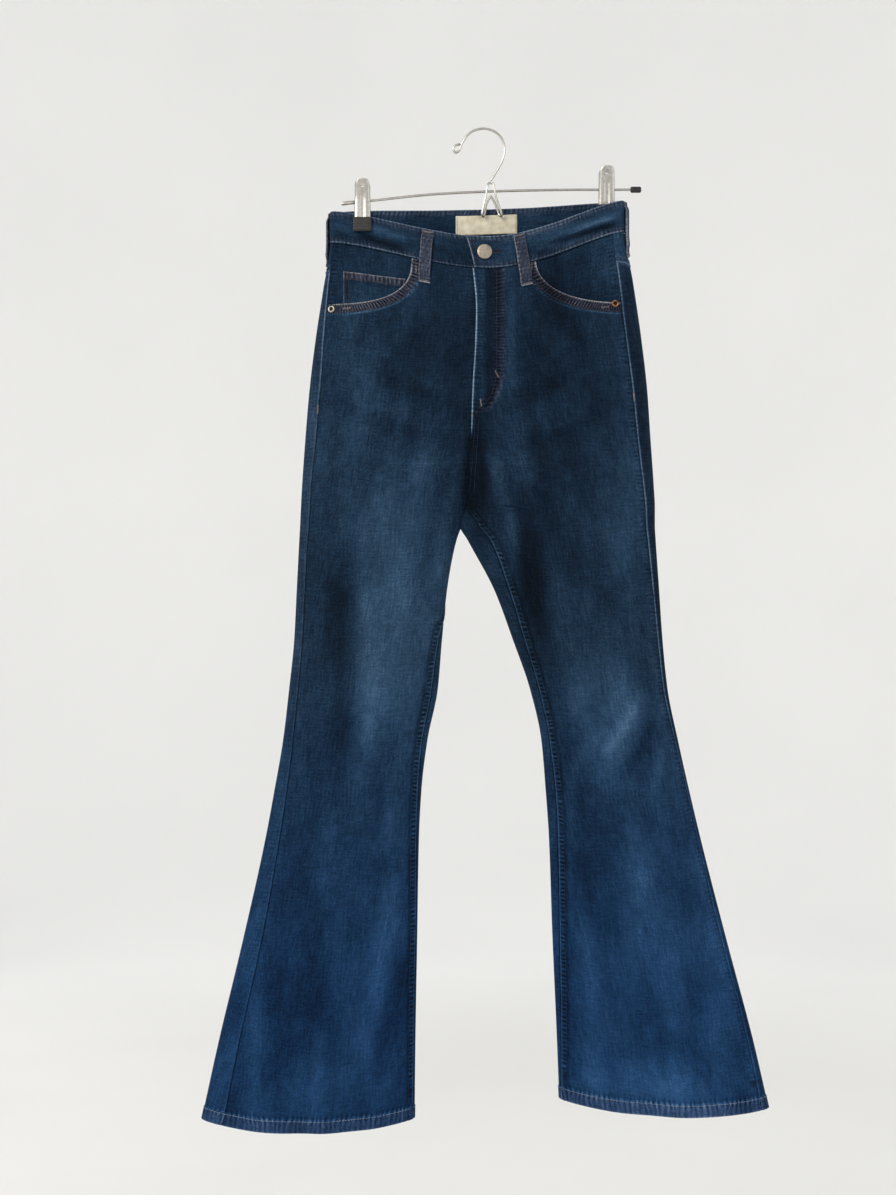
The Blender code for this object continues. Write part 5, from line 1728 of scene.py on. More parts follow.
@dataclass
class FrontPockets(Maker):
    """The facings behind the mouths and the coin pocket on the right one."""

    depth: float = 2.7
    wall: float = 0.8
    bottom: float = -226.0
    coin: tuple[float, float, float, float, float] = (-164.0, -92.0, -165.5, 5.0, -216.0)

    def facing(self, side: str) -> ClothGrid:
        """The facing, sunk behind the front, from the side seam and the waistband.

        Args:
            side: right or left.

        Returns:
            The cloth.
        """
        half = HALVES[side]
        rows = np.linspace(FORM.panel_top, self.bottom, 44)
        start = half.moved(half.side_seam(rows), rows, FORM.seam_gap / 2)
        inner = np.full(rows.shape, POCKETS[side].facing_inner)
        end = half.angle_of_x(inner, rows, Face.FRONT)
        angle = start[:, None] + (end - start)[:, None] * np.linspace(0, 1, 60)
        height = np.broadcast_to(rows[:, None], angle.shape)
        surface = half.line(angle, height)
        grid = ClothGrid(surface, (surface[0][..., 0] + 400, -height),
                         wear_and_shade_at(surface[0], np.ones(angle.shape, bool)) - 0.05)
        across = grid.runs()[0]
        grid.rise(1.7 * bell(across / 5.0) - self.depth)
        grid.run = -height
        grid.gather(0.6 * seam_pucker(across, 6.0))
        return grid

    def coin_pocket(self) -> ClothGrid:
        """The coin pocket: a hemmed band along its top, its sides turned under."""
        left, right, top, slope, bottom = self.coin
        across, down = np.meshgrid(np.linspace(0, 1, 40), np.append(
            [0.0, 0.012, 0.03], np.linspace(0.06, 1.0, 26)))
        edge = top + slope * across - 1.2 * np.sin(np.pi * across)
        x, height = left + (right - left) * across, edge + (bottom - edge) * down
        surface = on_hips(x, height, Face.FRONT)
        grid = ClothGrid(surface, (x + 700.0, -height),
                         wear_and_shade_at(surface[0], np.ones(x.shape, bool)))
        across, down = grid.runs()
        band = smoothstep((10.0 - down) / 1.4)
        grid.rise(-1.75 + 0.35 * band)
        grid.soften_rim(0.5, 1.0, ("top", "start", "end"))
        grid.run = x
        grid.gather(1.3 * bell((down - 5.0) / 4.5))
        grid.abrade(0.8 * band + 0.3 * bell(across / 6.0))
        grid.wear_and_shade = grid.wear_and_shade + 0.05 * band - 0.10 * bell((down - 11.5) / 1.4)
        grid.rub(0.45 * bell(down / 1.1), 0.40 * bell(across / 0.8))
        return grid

    def build(self) -> None:
        """Makes both facings and the coin pocket."""
        for side in HALVES:
            self.sew(f"pocket_facing_{side}", "denim", self.facing(side), self.wall, "facing",
                     "waistband")
        self.sew("coin_pocket", "denim_trim", self.coin_pocket(), 0.7, "coin_pocket",
                 "pocket_facing_right")

    def stitch(self, brown: Stitching) -> None:
        """Two rows along each mouth, two along the coin pocket's band and two down its side.

        Args:
            brown: The brown thread.
        """
        for side, half in HALVES.items():
            for inset, lift in ((2.2, 0.45), (9.8, 0.5)):
                line = POCKETS[side].curve(inset, 120, 0.10, 0.97)
                brown.add(half.on_front(line, lift), 3.2, 0.7)
        left, right, top, slope, bottom = self.coin
        for inset in (2.0, 8.0):
            x = np.linspace(left + 2, right - 10, 40)
            height = top + slope * (x - left) / (right - left) - inset - 1.0
            brown.add(on_hips(x, height, Face.FRONT, -1.35), 3.0, 0.6)
        for x in (left + 2.0, left + 6.5):
            height = np.linspace(top - 2, bottom + 4, 24)
            brown.add(on_hips(x, height, Face.FRONT, -1.6), 3.0, 0.6)


# ------------------------------------------------------------------ fly and waistband

@dataclass(frozen=True)
class Fly:
    """The fly: the left front laps over the right, with a facing sewn behind it in a J."""

    line: float = 19.0
    top: float = -173.0
    bend: float = -281.0
    foot: float = -333.0
    foot_x: float = -10.0
    lap: float = 1.8
    lap_ends: float = -420.0

    def j_line(self, inset: float, count: int) -> Array:
        """The J's points (X, true height): straight down, then a quarter ellipse to the seam.

        Args:
            inset: How far inside the J's outer row, in mm.
            count: How many points, half of them on the straight.

        Returns:
            Points, (count - 1, 2).
        """
        half = count // 2
        upper = np.stack([np.full(half, self.line - inset), np.linspace(self.top, self.bend, half)], -1)
        turn = np.linspace(0.0, QUARTER, count - half)[1:]
        wide, deep = self.line - inset - self.foot_x, self.bend - self.foot - inset
        lower = np.stack([self.foot_x + wide * np.cos(turn), self.bend - deep * np.sin(turn)], -1)
        return np.concatenate([upper, lower])

    def past(self, points: Array) -> Array:
        """How far along X a point lies past the J, in mm, negative inside it."""
        deep = np.clip((self.bend - points[..., 2]) / (self.bend - self.foot), 0.0, 1.0)
        return points[..., 0] - self.foot_x - (self.line - self.foot_x) * np.sqrt(1.0 - deep**2)

    def dress(self, grid: ClothGrid, height: Array, side: str) -> None:
        """Sinks the right side under the lap, or raises, shifts and rubs the lapping left.

        Args:
            grid: The front, which is changed.
            height: Its nominal heights.
            side: right or left.
        """
        across = grid.runs()[0]
        from_centre = across[:, -1:] - across
        lapping = smoothstep((height - self.lap_ends) / 40.0)
        if side == "right":
            grid.rise(-0.9 * lapping * smoothstep((9.0 - from_centre) / 8.0))
            return
        inside = smoothstep((1.0 - self.past(grid.points)) / 2.0) * (height > -345)
        inside = inside * smoothstep((grid.points[..., 2] - self.foot) / 3.0)
        grid.rise(0.6 * inside + lapping * smoothstep((9.0 - from_centre) / 6.0))
        grid.points[..., 0] -= self.lap * lapping * smoothstep((10.0 - from_centre) / 9.0)
        lapped = smoothstep((height + 364.0) / 16.0)
        grid.rub(0.90 * lapped * bell((from_centre - 0.4) / 1.15))
        x, z, past = grid.points[..., 0], grid.points[..., 2], self.past(grid.points)
        here = smoothstep((z - self.foot + 6.0) / 4.0) * (height > -350)
        rows, beside = here * bell((past + 3.5) / 4.0), here * bell((past - 2.2) / 2.2)
        foot = bell((z + 322.0) / 26.0)
        grid.wear_and_shade = (grid.wear_and_shade + inside * (0.10 * bell((x + 3.0) / 2.5) - 0.10 * bell((x - 6.0) / 5.0))
                     - 0.05 * rows + (0.08 + 0.16 * foot) * beside)
        grid.abrade(np.minimum(0.9 * rows + 0.5 * beside, 1.0))
        grid.gather(1.2 * rows + 0.8 * beside)

    def stitch(self, dark: Stitching, tacks: Stitching) -> None:
        """The J's two rows, two beside the seam below it, and bar tacks at its bend and foot.

        Args:
            dark: The navy thread.
            tacks: The bar tacks' thread.
        """
        for inset in (0.0, 5.0):
            dark.add(LEFT.on_front(self.j_line(inset, 90), 0.75), 3.0, 0.8)
        for away in (2.2, 6.6):
            height = LEFT.nominal(np.full(40, -10.0), np.linspace(-340.0, -425.0, 40))
            angle = LEFT.moved(LEFT.front_edge(height), height, -away)
            dark.add(LEFT.line(angle, height, 0.9), 3.0, 0.7)
        for x, z, way in ((14.5, -289.0, (0.5, 0, -1)), (-4.0, -322.0, (0.15, 0, -1))):
            place, out = LEFT.on_front(np.array([[x, z], [x + 0.1, z - 0.1]]), 1.0)
            tacks.tack(place[0], way, out[0], 9.0, 2.0)


FLY = Fly()


@dataclass
class Waistband(Maker):
    """One strip of doubled denim, from its end under the button round to the buttonhole end."""

    overlap: float = 26.0
    tuck: float = 3.0
    wall: float = 2.6

    def strip(self, down: float) -> Line:
        """The band's row at a share down: under the lap, round the right half, then the left.

        Args:
            down: The share of the way down the band.

        Returns:
            Points and normals.
        """
        height = FORM.band_top + (FORM.band_bottom - FORM.band_top) * down
        centre = float(RIGHT.read("inner", height))
        under_x = np.linspace(centre + self.overlap, centre + 1.0, 14)
        under = LEFT.line(LEFT.angle_of_x(under_x, np.full(14, height), Face.FRONT), height,
                          -self.tuck)
        angles = np.linspace(QUARTER, -QUARTER, 150)[1:]
        right, right_out = RIGHT.line(angles, height)
        sunk = self.tuck * smoothstep((angles - 1.40) / (QUARTER - 1.40))
        right = right - right_out * sunk[:, None]
        fine = QUARTER - np.array([0.012, 0.006, 0.0025, 0.0])
        left = LEFT.line(np.append(np.linspace(-QUARTER, QUARTER - 0.02, 150)[1:], fine), height)
        return tuple(np.concatenate(parts) for parts in zip(under, (right, right_out), left))

    def grid(self) -> ClothGrid:
        """The whole band, rolled at its edges, puffed between its rows and rubbed on its folds, with
        a painted shadow along its foot and painted shade and light over its creases.
        """
        shares = np.concatenate([[0.0, 0.012, 0.035, 0.07, 0.11], np.linspace(0.16, 0.84, 14),
                                 [0.89, 0.93, 0.965, 0.988, 1.0]])
        points, normals = (np.array(rows) for rows in zip(*map(self.strip, shares)))
        across, down = lengths(points, 1), lengths(points, 0)
        front = points[..., 1] < np.interp(points[..., 0], WAIST[0], WAIST[1])
        grid = ClothGrid((points, normals), (down + 1500.0, across), wear_and_shade_at(points, front) + 0.03)
        grid.rise(0.5 * np.sin(np.pi * (down / down[-1:])) ** 0.6)
        grid.soften_rim(1.3, 1.8)
        grid.run = across
        up, from_tab = down[-1:] - down, across[:, -1:] - across
        stitch_line = np.maximum(bell((down - 3.0) / 4.0), bell((up - 3.0) / 4.0))
        grid.gather(0.75 * stitch_line)
        grid.rub(0.46 * bell((down - 0.5) / 0.8), 0.20 * bell((down - 3.6) / 0.8),
                 0.40 * bell((up - 0.9) / 0.8), 0.70 * bell((from_tab - 0.5) / 1.0),
                 0.24 * bell((from_tab - 9.0) / 0.8))
        # Painted shadow along the band's foot, and painted shade and light over its creases.
        grid.wear_and_shade = (grid.wear_and_shade - 0.12 * bell(up / 0.7)
                     + 0.045 * crease_relief(points[..., 0], points[..., 2], front))
        grid.abrade(0.45 * np.maximum(stitch_line, bell(from_tab / 10.0)))
        return grid

    def build(self) -> None:
        """Makes the band."""
        self.sew("waistband", "denim", self.grid(), self.wall, "waistband",
                 "clip_right_front_jaw", "clip_left_front_jaw", "clip_left_back_jaw")

    def stitch(self, dark: Stitching, brown: Stitching) -> None:
        """A row along each edge, two across the lapped end, and the buttonhole's close rows.

        Args:
            dark: The navy thread.
            brown: The brown thread.
        """
        for down in (0.075, 0.925):
            points, normals = self.strip(down)
            dark.add((points[24:] + normals[24:] * 0.25, normals[24:]), 3.2, 0.75)
        height = np.linspace(-100.0, -130.0, 20)
        for away in (2.4, 8.6):
            angle = LEFT.moved(np.full(20, QUARTER), height, -away)
            dark.add(LEFT.line(angle, height, 0.5), 3.0, 0.75)
        round_slot = np.linspace(0.0, TURN, 44)
        slot = on_hips(13.5 + 6.0 * np.cos(round_slot), -114.5 + 1.9 * np.sin(round_slot),
                       Face.FRONT, 0.7)
        brown.add(slot, pitch=0.8, width=1.3, filled=1.0)


# ------------------------------------------------------------------ back pockets, loops, label

@dataclass(frozen=True)
class BackDetails:
    """The back's measures: the yoke's seam and the two patch pockets."""

    yoke_side: float = -166.0
    yoke_centre: float = -194.0
    pocket_top: float = -214.0
    pocket_height: float = 112.0
    tip: float = 22.0
    width_top: float = 128.0
    width_bottom: float = 112.0

    def yoke_seam(self, share: Array) -> Array:
        """The nominal height of the yoke's seam, from the centre back (0) to the side (1)."""
        return self.yoke_centre + (self.yoke_side - self.yoke_centre) * share

    def pocket_place(self, centre: float, across: Array, down: Array) -> Line:
        """Places along X and nominal heights of a pocket at shares across and down."""
        width = self.width_top + (self.width_bottom - self.width_top) * down
        foot = self.pocket_height + self.tip * (1.0 - 2.0 * np.abs(across))
        return centre + across * width, self.pocket_top - foot * down


BACK = BackDetails()
BACK_POCKET_CENTRES = {"right": -94.0, "left": 82.0}


@dataclass
class BackPockets(Maker):
    """Two patches with pointed feet, turned under all round, their mouths hemmed."""

    lift: float = 1.7
    wall: float = 1.1

    def grid(self, centre: float) -> ClothGrid:
        """One pocket, a little slack at its mouth and pressed flat at its sewn edges.

        Args:
            centre: Its middle along X.

        Returns:
            The cloth.
        """
        fine = np.array([0.0, 0.006, 0.014])
        share = np.concatenate([fine, np.linspace(0.03, 0.97, 50), 1.0 - fine[::-1]])
        x, height = BACK.pocket_place(centre, *np.meshgrid(share - 0.5, share))
        surface = on_hips(x, height, Face.BACK)
        grid = ClothGrid(surface, (x + 2100.0, -height),
                         wear_and_shade_at(surface[0], np.zeros(x.shape, bool)) + 0.05)
        across, down = grid.runs()
        side, foot = np.minimum(across, across[:, -1:] - across), down[-1:] - down
        sewn = np.minimum(side, foot)
        band = smoothstep((13.0 - down) / 1.5)
        slack = 0.8 * smoothstep(sewn / 25.0) * bell(down / 45.0)
        grid.rise(self.lift + 0.35 * band + slack + 0.3 * smoothstep((7.5 - sewn) / 1.5))
        grid.soften_rim(0.8, 1.3)
        grid.run = np.where(foot < side, across, -height)
        grid.gather(0.9 * bell((sewn - 4.0) / 5.0), 0.5 * bell((down - 12) / 5.0))
        grid.abrade(0.6 * np.maximum(band, smoothstep((9.0 - sewn) / 3.0)))
        grid.rub(0.45 * bell(sewn / 1.3), 0.5 * bell(down / 1.3))
        return grid

    def build(self) -> None:
        """Makes both pockets."""
        for side, centre in BACK_POCKET_CENTRES.items():
            self.sew(f"back_pocket_{side}", "denim", self.grid(centre), self.wall, "back_pocket",
                     f"back_{side}_cloth")

    def stitch(self, thread: Stitching, tacks: Stitching) -> None:
        """Two rows round each sewn edge, two along each mouth, and bar tacks at the corners.

        Args:
            thread: The thread.
            tacks: The bar tacks' thread.
        """
        for centre in BACK_POCKET_CENTRES.values():
            rows = []
            for inset in (2.0, 7.0):
                near_x, near_z = inset / BACK.width_top, inset / BACK.pocket_height
                side = np.linspace(0.0, 1 - near_z, 50)
                foot = np.linspace(-0.5 + near_x, 0.5 - near_x, 70)
                across = np.concatenate([np.full(50, foot[0]), foot, np.full(50, foot[-1])])
                rows.append((0.3, across, np.concatenate([side, np.full(70, side[-1]), side[::-1]])))
            rows += [(0.75, np.linspace(-0.48, 0.48, 40), np.full(40, inset / BACK.pocket_height))
                     for inset in (2.4, 11.5)]
            for lift, across, down in rows:
                x, height = BACK.pocket_place(centre, across, down)
                thread.add(on_hips(x, height, Face.BACK, self.lift + lift), 3.1, 0.75)
            for across in (-0.475, 0.475):
                x, height = BACK.pocket_place(centre, np.array([across]), np.array([0.05]))
                points, normals = on_hips(x, height, Face.BACK, 2.2)
                tacks.tack(points[0], (0, 0, -1), normals[0], 11.0, 2.2)


class LoopPlace(NamedTuple):
    """Where a belt loop lies: X at its top and foot, or how far it is behind a side fold."""

    node: str
    face: Face
    top: float = 0.0
    bottom: float = 0.0
    side: str = ""
    behind: float = 0.0


LOOPS = (
    LoopPlace("belt_loop_front_right", Face.FRONT, -64.0, -69.0),
    LoopPlace("belt_loop_front_left", Face.FRONT, 39.5, 49.0),
    LoopPlace("belt_loop_centre_back", Face.BACK, -8.0, -8.0),
    LoopPlace("belt_loop_side_right", Face.FRONT, side="right", behind=7.0),
    LoopPlace("belt_loop_side_left", Face.FRONT, side="left", behind=0.5),
)


@dataclass
class BeltLoops(Maker):
    """Folded strips, tacked at both ends, that stand off the band between them."""

    width: float = 13.0
    length: float = 63.0
    stands_off: float = 2.4
    wall: float = 1.8

    def surface(self, loop: LoopPlace, across: Array, down: Array, extra: float = 0.0) -> Line:
        """A loop's outer side.

        Args:
            loop: The loop.
            across: Shares across, from -0.5 to 0.5, on a grid.
            down: Shares down.
            extra: How far to move the points out, in mm.

        Returns:
            Points and normals.
        """
        height = FORM.band_top - 1.5 - self.length * down
        lift = smoothstep((down - 0.05) / 0.11) * smoothstep((0.92 - down) / 0.16)
        out = 0.7 + self.wall + self.stands_off * lift
        if loop.side:
            half = HALVES[loop.side]
            distance = across * self.width - loop.behind
            angle = np.array([half.angle_round_fold(away, float(level[0]))
                              for away, level in zip(distance, height)])
            points, normals = half.line(angle, height)
        else:
            x = loop.top + (loop.bottom - loop.top) * down + across * self.width
            points, normals = on_hips(x, height, loop.face)
        return points + normals * out[..., None] + normals * extra, normals

    def grid(self, loop: LoopPlace) -> ClothGrid:
        """One loop, with its long edges rubbed pale and its middle a little puffed.

        Args:
            loop: The loop.

        Returns:
            The cloth.
        """
        share = np.concatenate([[0.0, 0.03, 0.09], np.linspace(0.17, 0.83, 9), [0.91, 0.97, 1.0]])
        across, down = np.meshgrid(share - 0.5, np.concatenate(
            [[0.0, 0.006, 0.014, 0.03], np.linspace(0.05, 0.95, 40), [0.97, 0.986, 0.994, 1.0]]))
        surface = self.surface(loop, across, down)
        front = np.full(across.shape, loop.face is Face.FRONT)
        grid = ClothGrid(surface, (across * self.width + 2500.0, down * self.length),
                         wear_and_shade_at(surface[0], front))
        run_down, seam = grid.runs()[1], np.abs(across) - 0.33
        grid.rise(0.35 * np.cos(np.pi * across) - 0.25 * bell(seam / 0.06))
        grid.soften_rim(0.7, 1.1)
        grid.run = run_down
        grid.gather(0.6 * bell(seam / 0.14))
        grid.abrade(np.full(across.shape, 0.75))
        grid.wear_and_shade = grid.wear_and_shade + 0.07 + 0.07 * np.sin(run_down * 0.9 + 9 * across) * np.cos(
            run_down * 0.37 - 7 * across)
        grid.rub(0.36 * bell((0.5 + across) / 0.07) + 0.12 * bell((0.5 - across) / 0.07),
                 0.45 * bell((run_down[-1:] - run_down) / 1.4))
        return grid

    def build(self) -> None:
        """Makes every loop."""
        for loop in LOOPS:
            self.sew(loop.node, "denim_trim", self.grid(loop), self.wall, "belt_loop",
                     "waistband_cloth")

    def stitch(self, thread: Stitching, tacks: Stitching) -> None:
        """Two rows down each loop and a bar tack across each end.

        Args:
            thread: The thread.
            tacks: The bar tacks' thread.
        """
        for loop in LOOPS:
            down = np.linspace(0.05, 0.95, 40)[:, None]
            for across in (-0.31, 0.31):
                points, normals = self.surface(loop, np.full(down.shape, across), down, 0.2)
                thread.add((points[:, 0], normals[:, 0]), 2.9, 0.6)
            for at in (0.035, 0.965):
                points, normals = self.surface(loop, np.array([[-0.45, 0.45]]), np.array([[at, at]]))
                out = normals[0].mean(0)
                tacks.tack(points[0].mean(0) + out * 0.5, points[0, 1] - points[0, 0], out, 11.0, 1.9)


@dataclass
class NeckLabel(Maker):
    """The bare woven label sewn inside the back of the waistband."""

    centre: float = 3.0
    width: float = 72.0
    height: float = 22.5
    top: float = -103.0

    def build(self) -> None:
        """A thin satin strip, slightly bowed between its sewn ends."""
        across, down = np.meshgrid(np.linspace(-0.5, 0.5, 60), np.linspace(0, 1, 20))
        x, height = self.centre + across * self.width, self.top - down * self.height
        bow = 0.5 * np.cos(np.pi * across) + 0.25 * np.sin(across * 21.0 + down * 2.0)
        grid = ClothGrid(on_hips(x, height, Face.BACK), (x, -height), 0.5)
        grid.rise(-3.0 - bow)
        self.sew("label", "label", grid, 0.5, "label", "waistband_cloth")

    def stitch(self, thread: Stitching) -> None:
        """A row down each end of the label, on the side that shows.

        Args:
            thread: The thread.
        """
        inset = self.width / 2 - 1.6
        for x in (self.centre - inset, self.centre + inset):
            height = np.linspace(self.top - 1.0, self.top - self.height + 1.0, 12)
            points, normals = on_hips(x, height, Face.BACK, -3.7)
            thread.add((points, -normals), 2.4, 0.5)


# ------------------------------------------------------------------ zip and metal trims

@dataclass
class ZipFastener(Maker):
    """The closed zip behind the fly: its tape, and its teeth in two meshing rows."""

    away: float = 11.0
    tape_width: float = 26.0
    top: float = -136.0
    bottom: float = -300.0
    pitch: float = 2.2

    def place(self, across: Array, height: Array, depth: float) -> Line:
        """Points behind the fly at mm across from the zip's line, and normals."""
        x = RIGHT.read("inner", height) + self.away + across
        return on_hips(x, height, Face.FRONT, -depth)

    def build(self) -> None:
        """The tape as one closed strip; teeth as short bars, alternately left and right."""
        across, height = np.meshgrid(np.linspace(-0.5, 0.5, 20) * self.tape_width,
                                     np.linspace(self.top, self.bottom, 70))
        grid = ClothGrid(self.place(across, height, 5.8), (across, -height), 0.2)
        self.sew("zip_tape", "zip_tape", grid, 1.0, "zip_tape", "front_left_cloth")
        teeth, bar = [], np.array([-1.7, -1.2, 1.2, 1.7])
        heights = np.arange(self.top - 11.0, self.bottom + 6.0, -self.pitch / 2)
        for number, level in enumerate(heights):
            line, _ = self.place(bar + (0.55 if number % 2 else -0.55), np.full(4, level), 4.75)
            teeth.append(tube(line, np.array([0.35, 0.48, 0.48, 0.35]), 6, round_ends=False))
        self.solid("zip_teeth", "nickel", merged(teeth), "zip_chain")
        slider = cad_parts["zip_slider"].data.materials
        slider.clear()
        slider.append(self.finishes["nickel"])


@dataclass
class Trims(Maker):
    """The shank button and the two rivets, turned from profiles of (radius, height), top first."""

    BUTTON = [(8.6 * share, height) for share, height in (
        (0, 3.2), (0.3, 3.18), (0.6, 3.10), (0.80, 2.98), (0.90, 2.82), (0.965, 2.55), (1, 2.15),
        (0.98, 1.8), (0.90, 1.6), (0.5, 1.55), (0.42, 1.2), (0.42, 0), (0, 0))]
    RIVET = [(4.4 * across, 1.7 * up) for across, up in (
        (0, 0.10), (0.40, 0.10), (0.47, 0.55), (0.56, 0.90), (0.70, 1), (0.84, 0.92),
        (0.95, 0.60), (1, 0.20), (0.98, 0), (0, 0))]
    # A dark dome in the middle of each rivet's hollow: painted shade, in the bronze finish.
    RIVET_HOLLOW_SHADE = [(4.4 * across, 1.7 * up) for across, up in (
        (0, 0.62), (0.13, 0.56), (0.22, 0.24), (0.42, 0.18), (0.42, 0.05), (0, 0.05))]

    def at(self, profile: Sequence, sides: int, place: tuple[float, float], out: float,
           lean: tuple[float, float] = (0.0, 0.0)) -> Shape:
        """Turns a profile about the way out of the front.

        Args:
            profile: Radii and heights, top first.
            sides: Sides of each ring.
            place: X and nominal height.
            out: How far it stands off, in mm.
            lean: How far its axis leans, along X and Z.

        Returns:
            Points and faces.
        """
        points, normals = on_hips(np.array([place[0]]), np.array([place[1]]), Face.FRONT, out)
        way = normals[0] + np.array([lean[0], 0.0, lean[1]])
        return placed(turned(profile, sides), points[0], way)

    def build(self) -> None:
        """Button and rivets, with a dome of painted shade in each rivet's hollow."""
        button = self.at(self.BUTTON, 48, (0.0, -114.5), 0.5, (0.06, 0.05))
        self.solid("shank_button", "nickel", button, "button", sharp=50)
        for side, slot in (("right", "silver"), ("left", "copper")):
            place = POCKETS[side].rivet
            self.solid(f"pocket_rivet_{side}", slot, self.at(self.RIVET, 48, place, 0.35),
                       f"rivet_{side}", sharp=50)
            # The dark dome in the rivet's hollow is painted shade.
            self.solid(f"rivet_hollow_shade_{side}", slot, self.at(self.RIVET_HOLLOW_SHADE, 24, place, 0.35),
                       finish="bronze")


# ------------------------------------------------------------------ hanger

HOOK_ROUTE = (
    (-28.5, -17.0), (-33.8, -18.4), (-35.8, -23.0), (-32.8, -26.6), (-28.6, -23.6),
    (-24.6, -14.0), (-18.7, -5.6), (-10.5, -0.4), (0.0, 1.4), (10.5, -1.0), (18.7, -7.4),
    (23.4, -16.4), (24.6, -24.6), (22.4, -33.9), (17.8, -43.3), (12.4, -52.4), (8.6, -58.5),
)
ROD_ROUTE = ((-150, -84.6), (-127, -82.4), (-63, -75.6), (8, -72.0), (89, -70.2), (171, -70.0))
SADDLE_ROUTE = (
    (-2.4, -99.0, -3.2), (0.6, -86.0, -3.4), (3.4, -72.0, -3.4), (4.6, -64.6, -2.6),
    (8.0, -62.4, -1.2), (11.4, -64.6, -2.6), (12.6, -72.0, -3.4), (15.6, -84.0, -3.4),
    (20.4, -98.0, -3.2), (19.4, -101.2, -1.0), (17.4, -98.0, 0.6), (13.0, -86.0, 0.6),
    (9.0, -78.6, 0.6), (7.2, -78.6, 0.6), (3.6, -86.0, 0.6), (0.6, -99.0, 0.6),
    (-0.6, -101.8, -1.2),
)


class ClipPlace(NamedTuple):
    """Where a clip grips: along the rod, the rod's height there, and its two cloth faces."""

    side: str
    along: float
    rod_height: float
    top: float
    cloth: dict[Face, float]


CLIPS = (
    ClipPlace("right", -142.0, -83.9, -58.5, {Face.FRONT: -3.2, Face.BACK: 3.2}),
    ClipPlace("left", 143.5, -70.0, -43.5, {Face.FRONT: -1.3, Face.BACK: 1.3}),
)


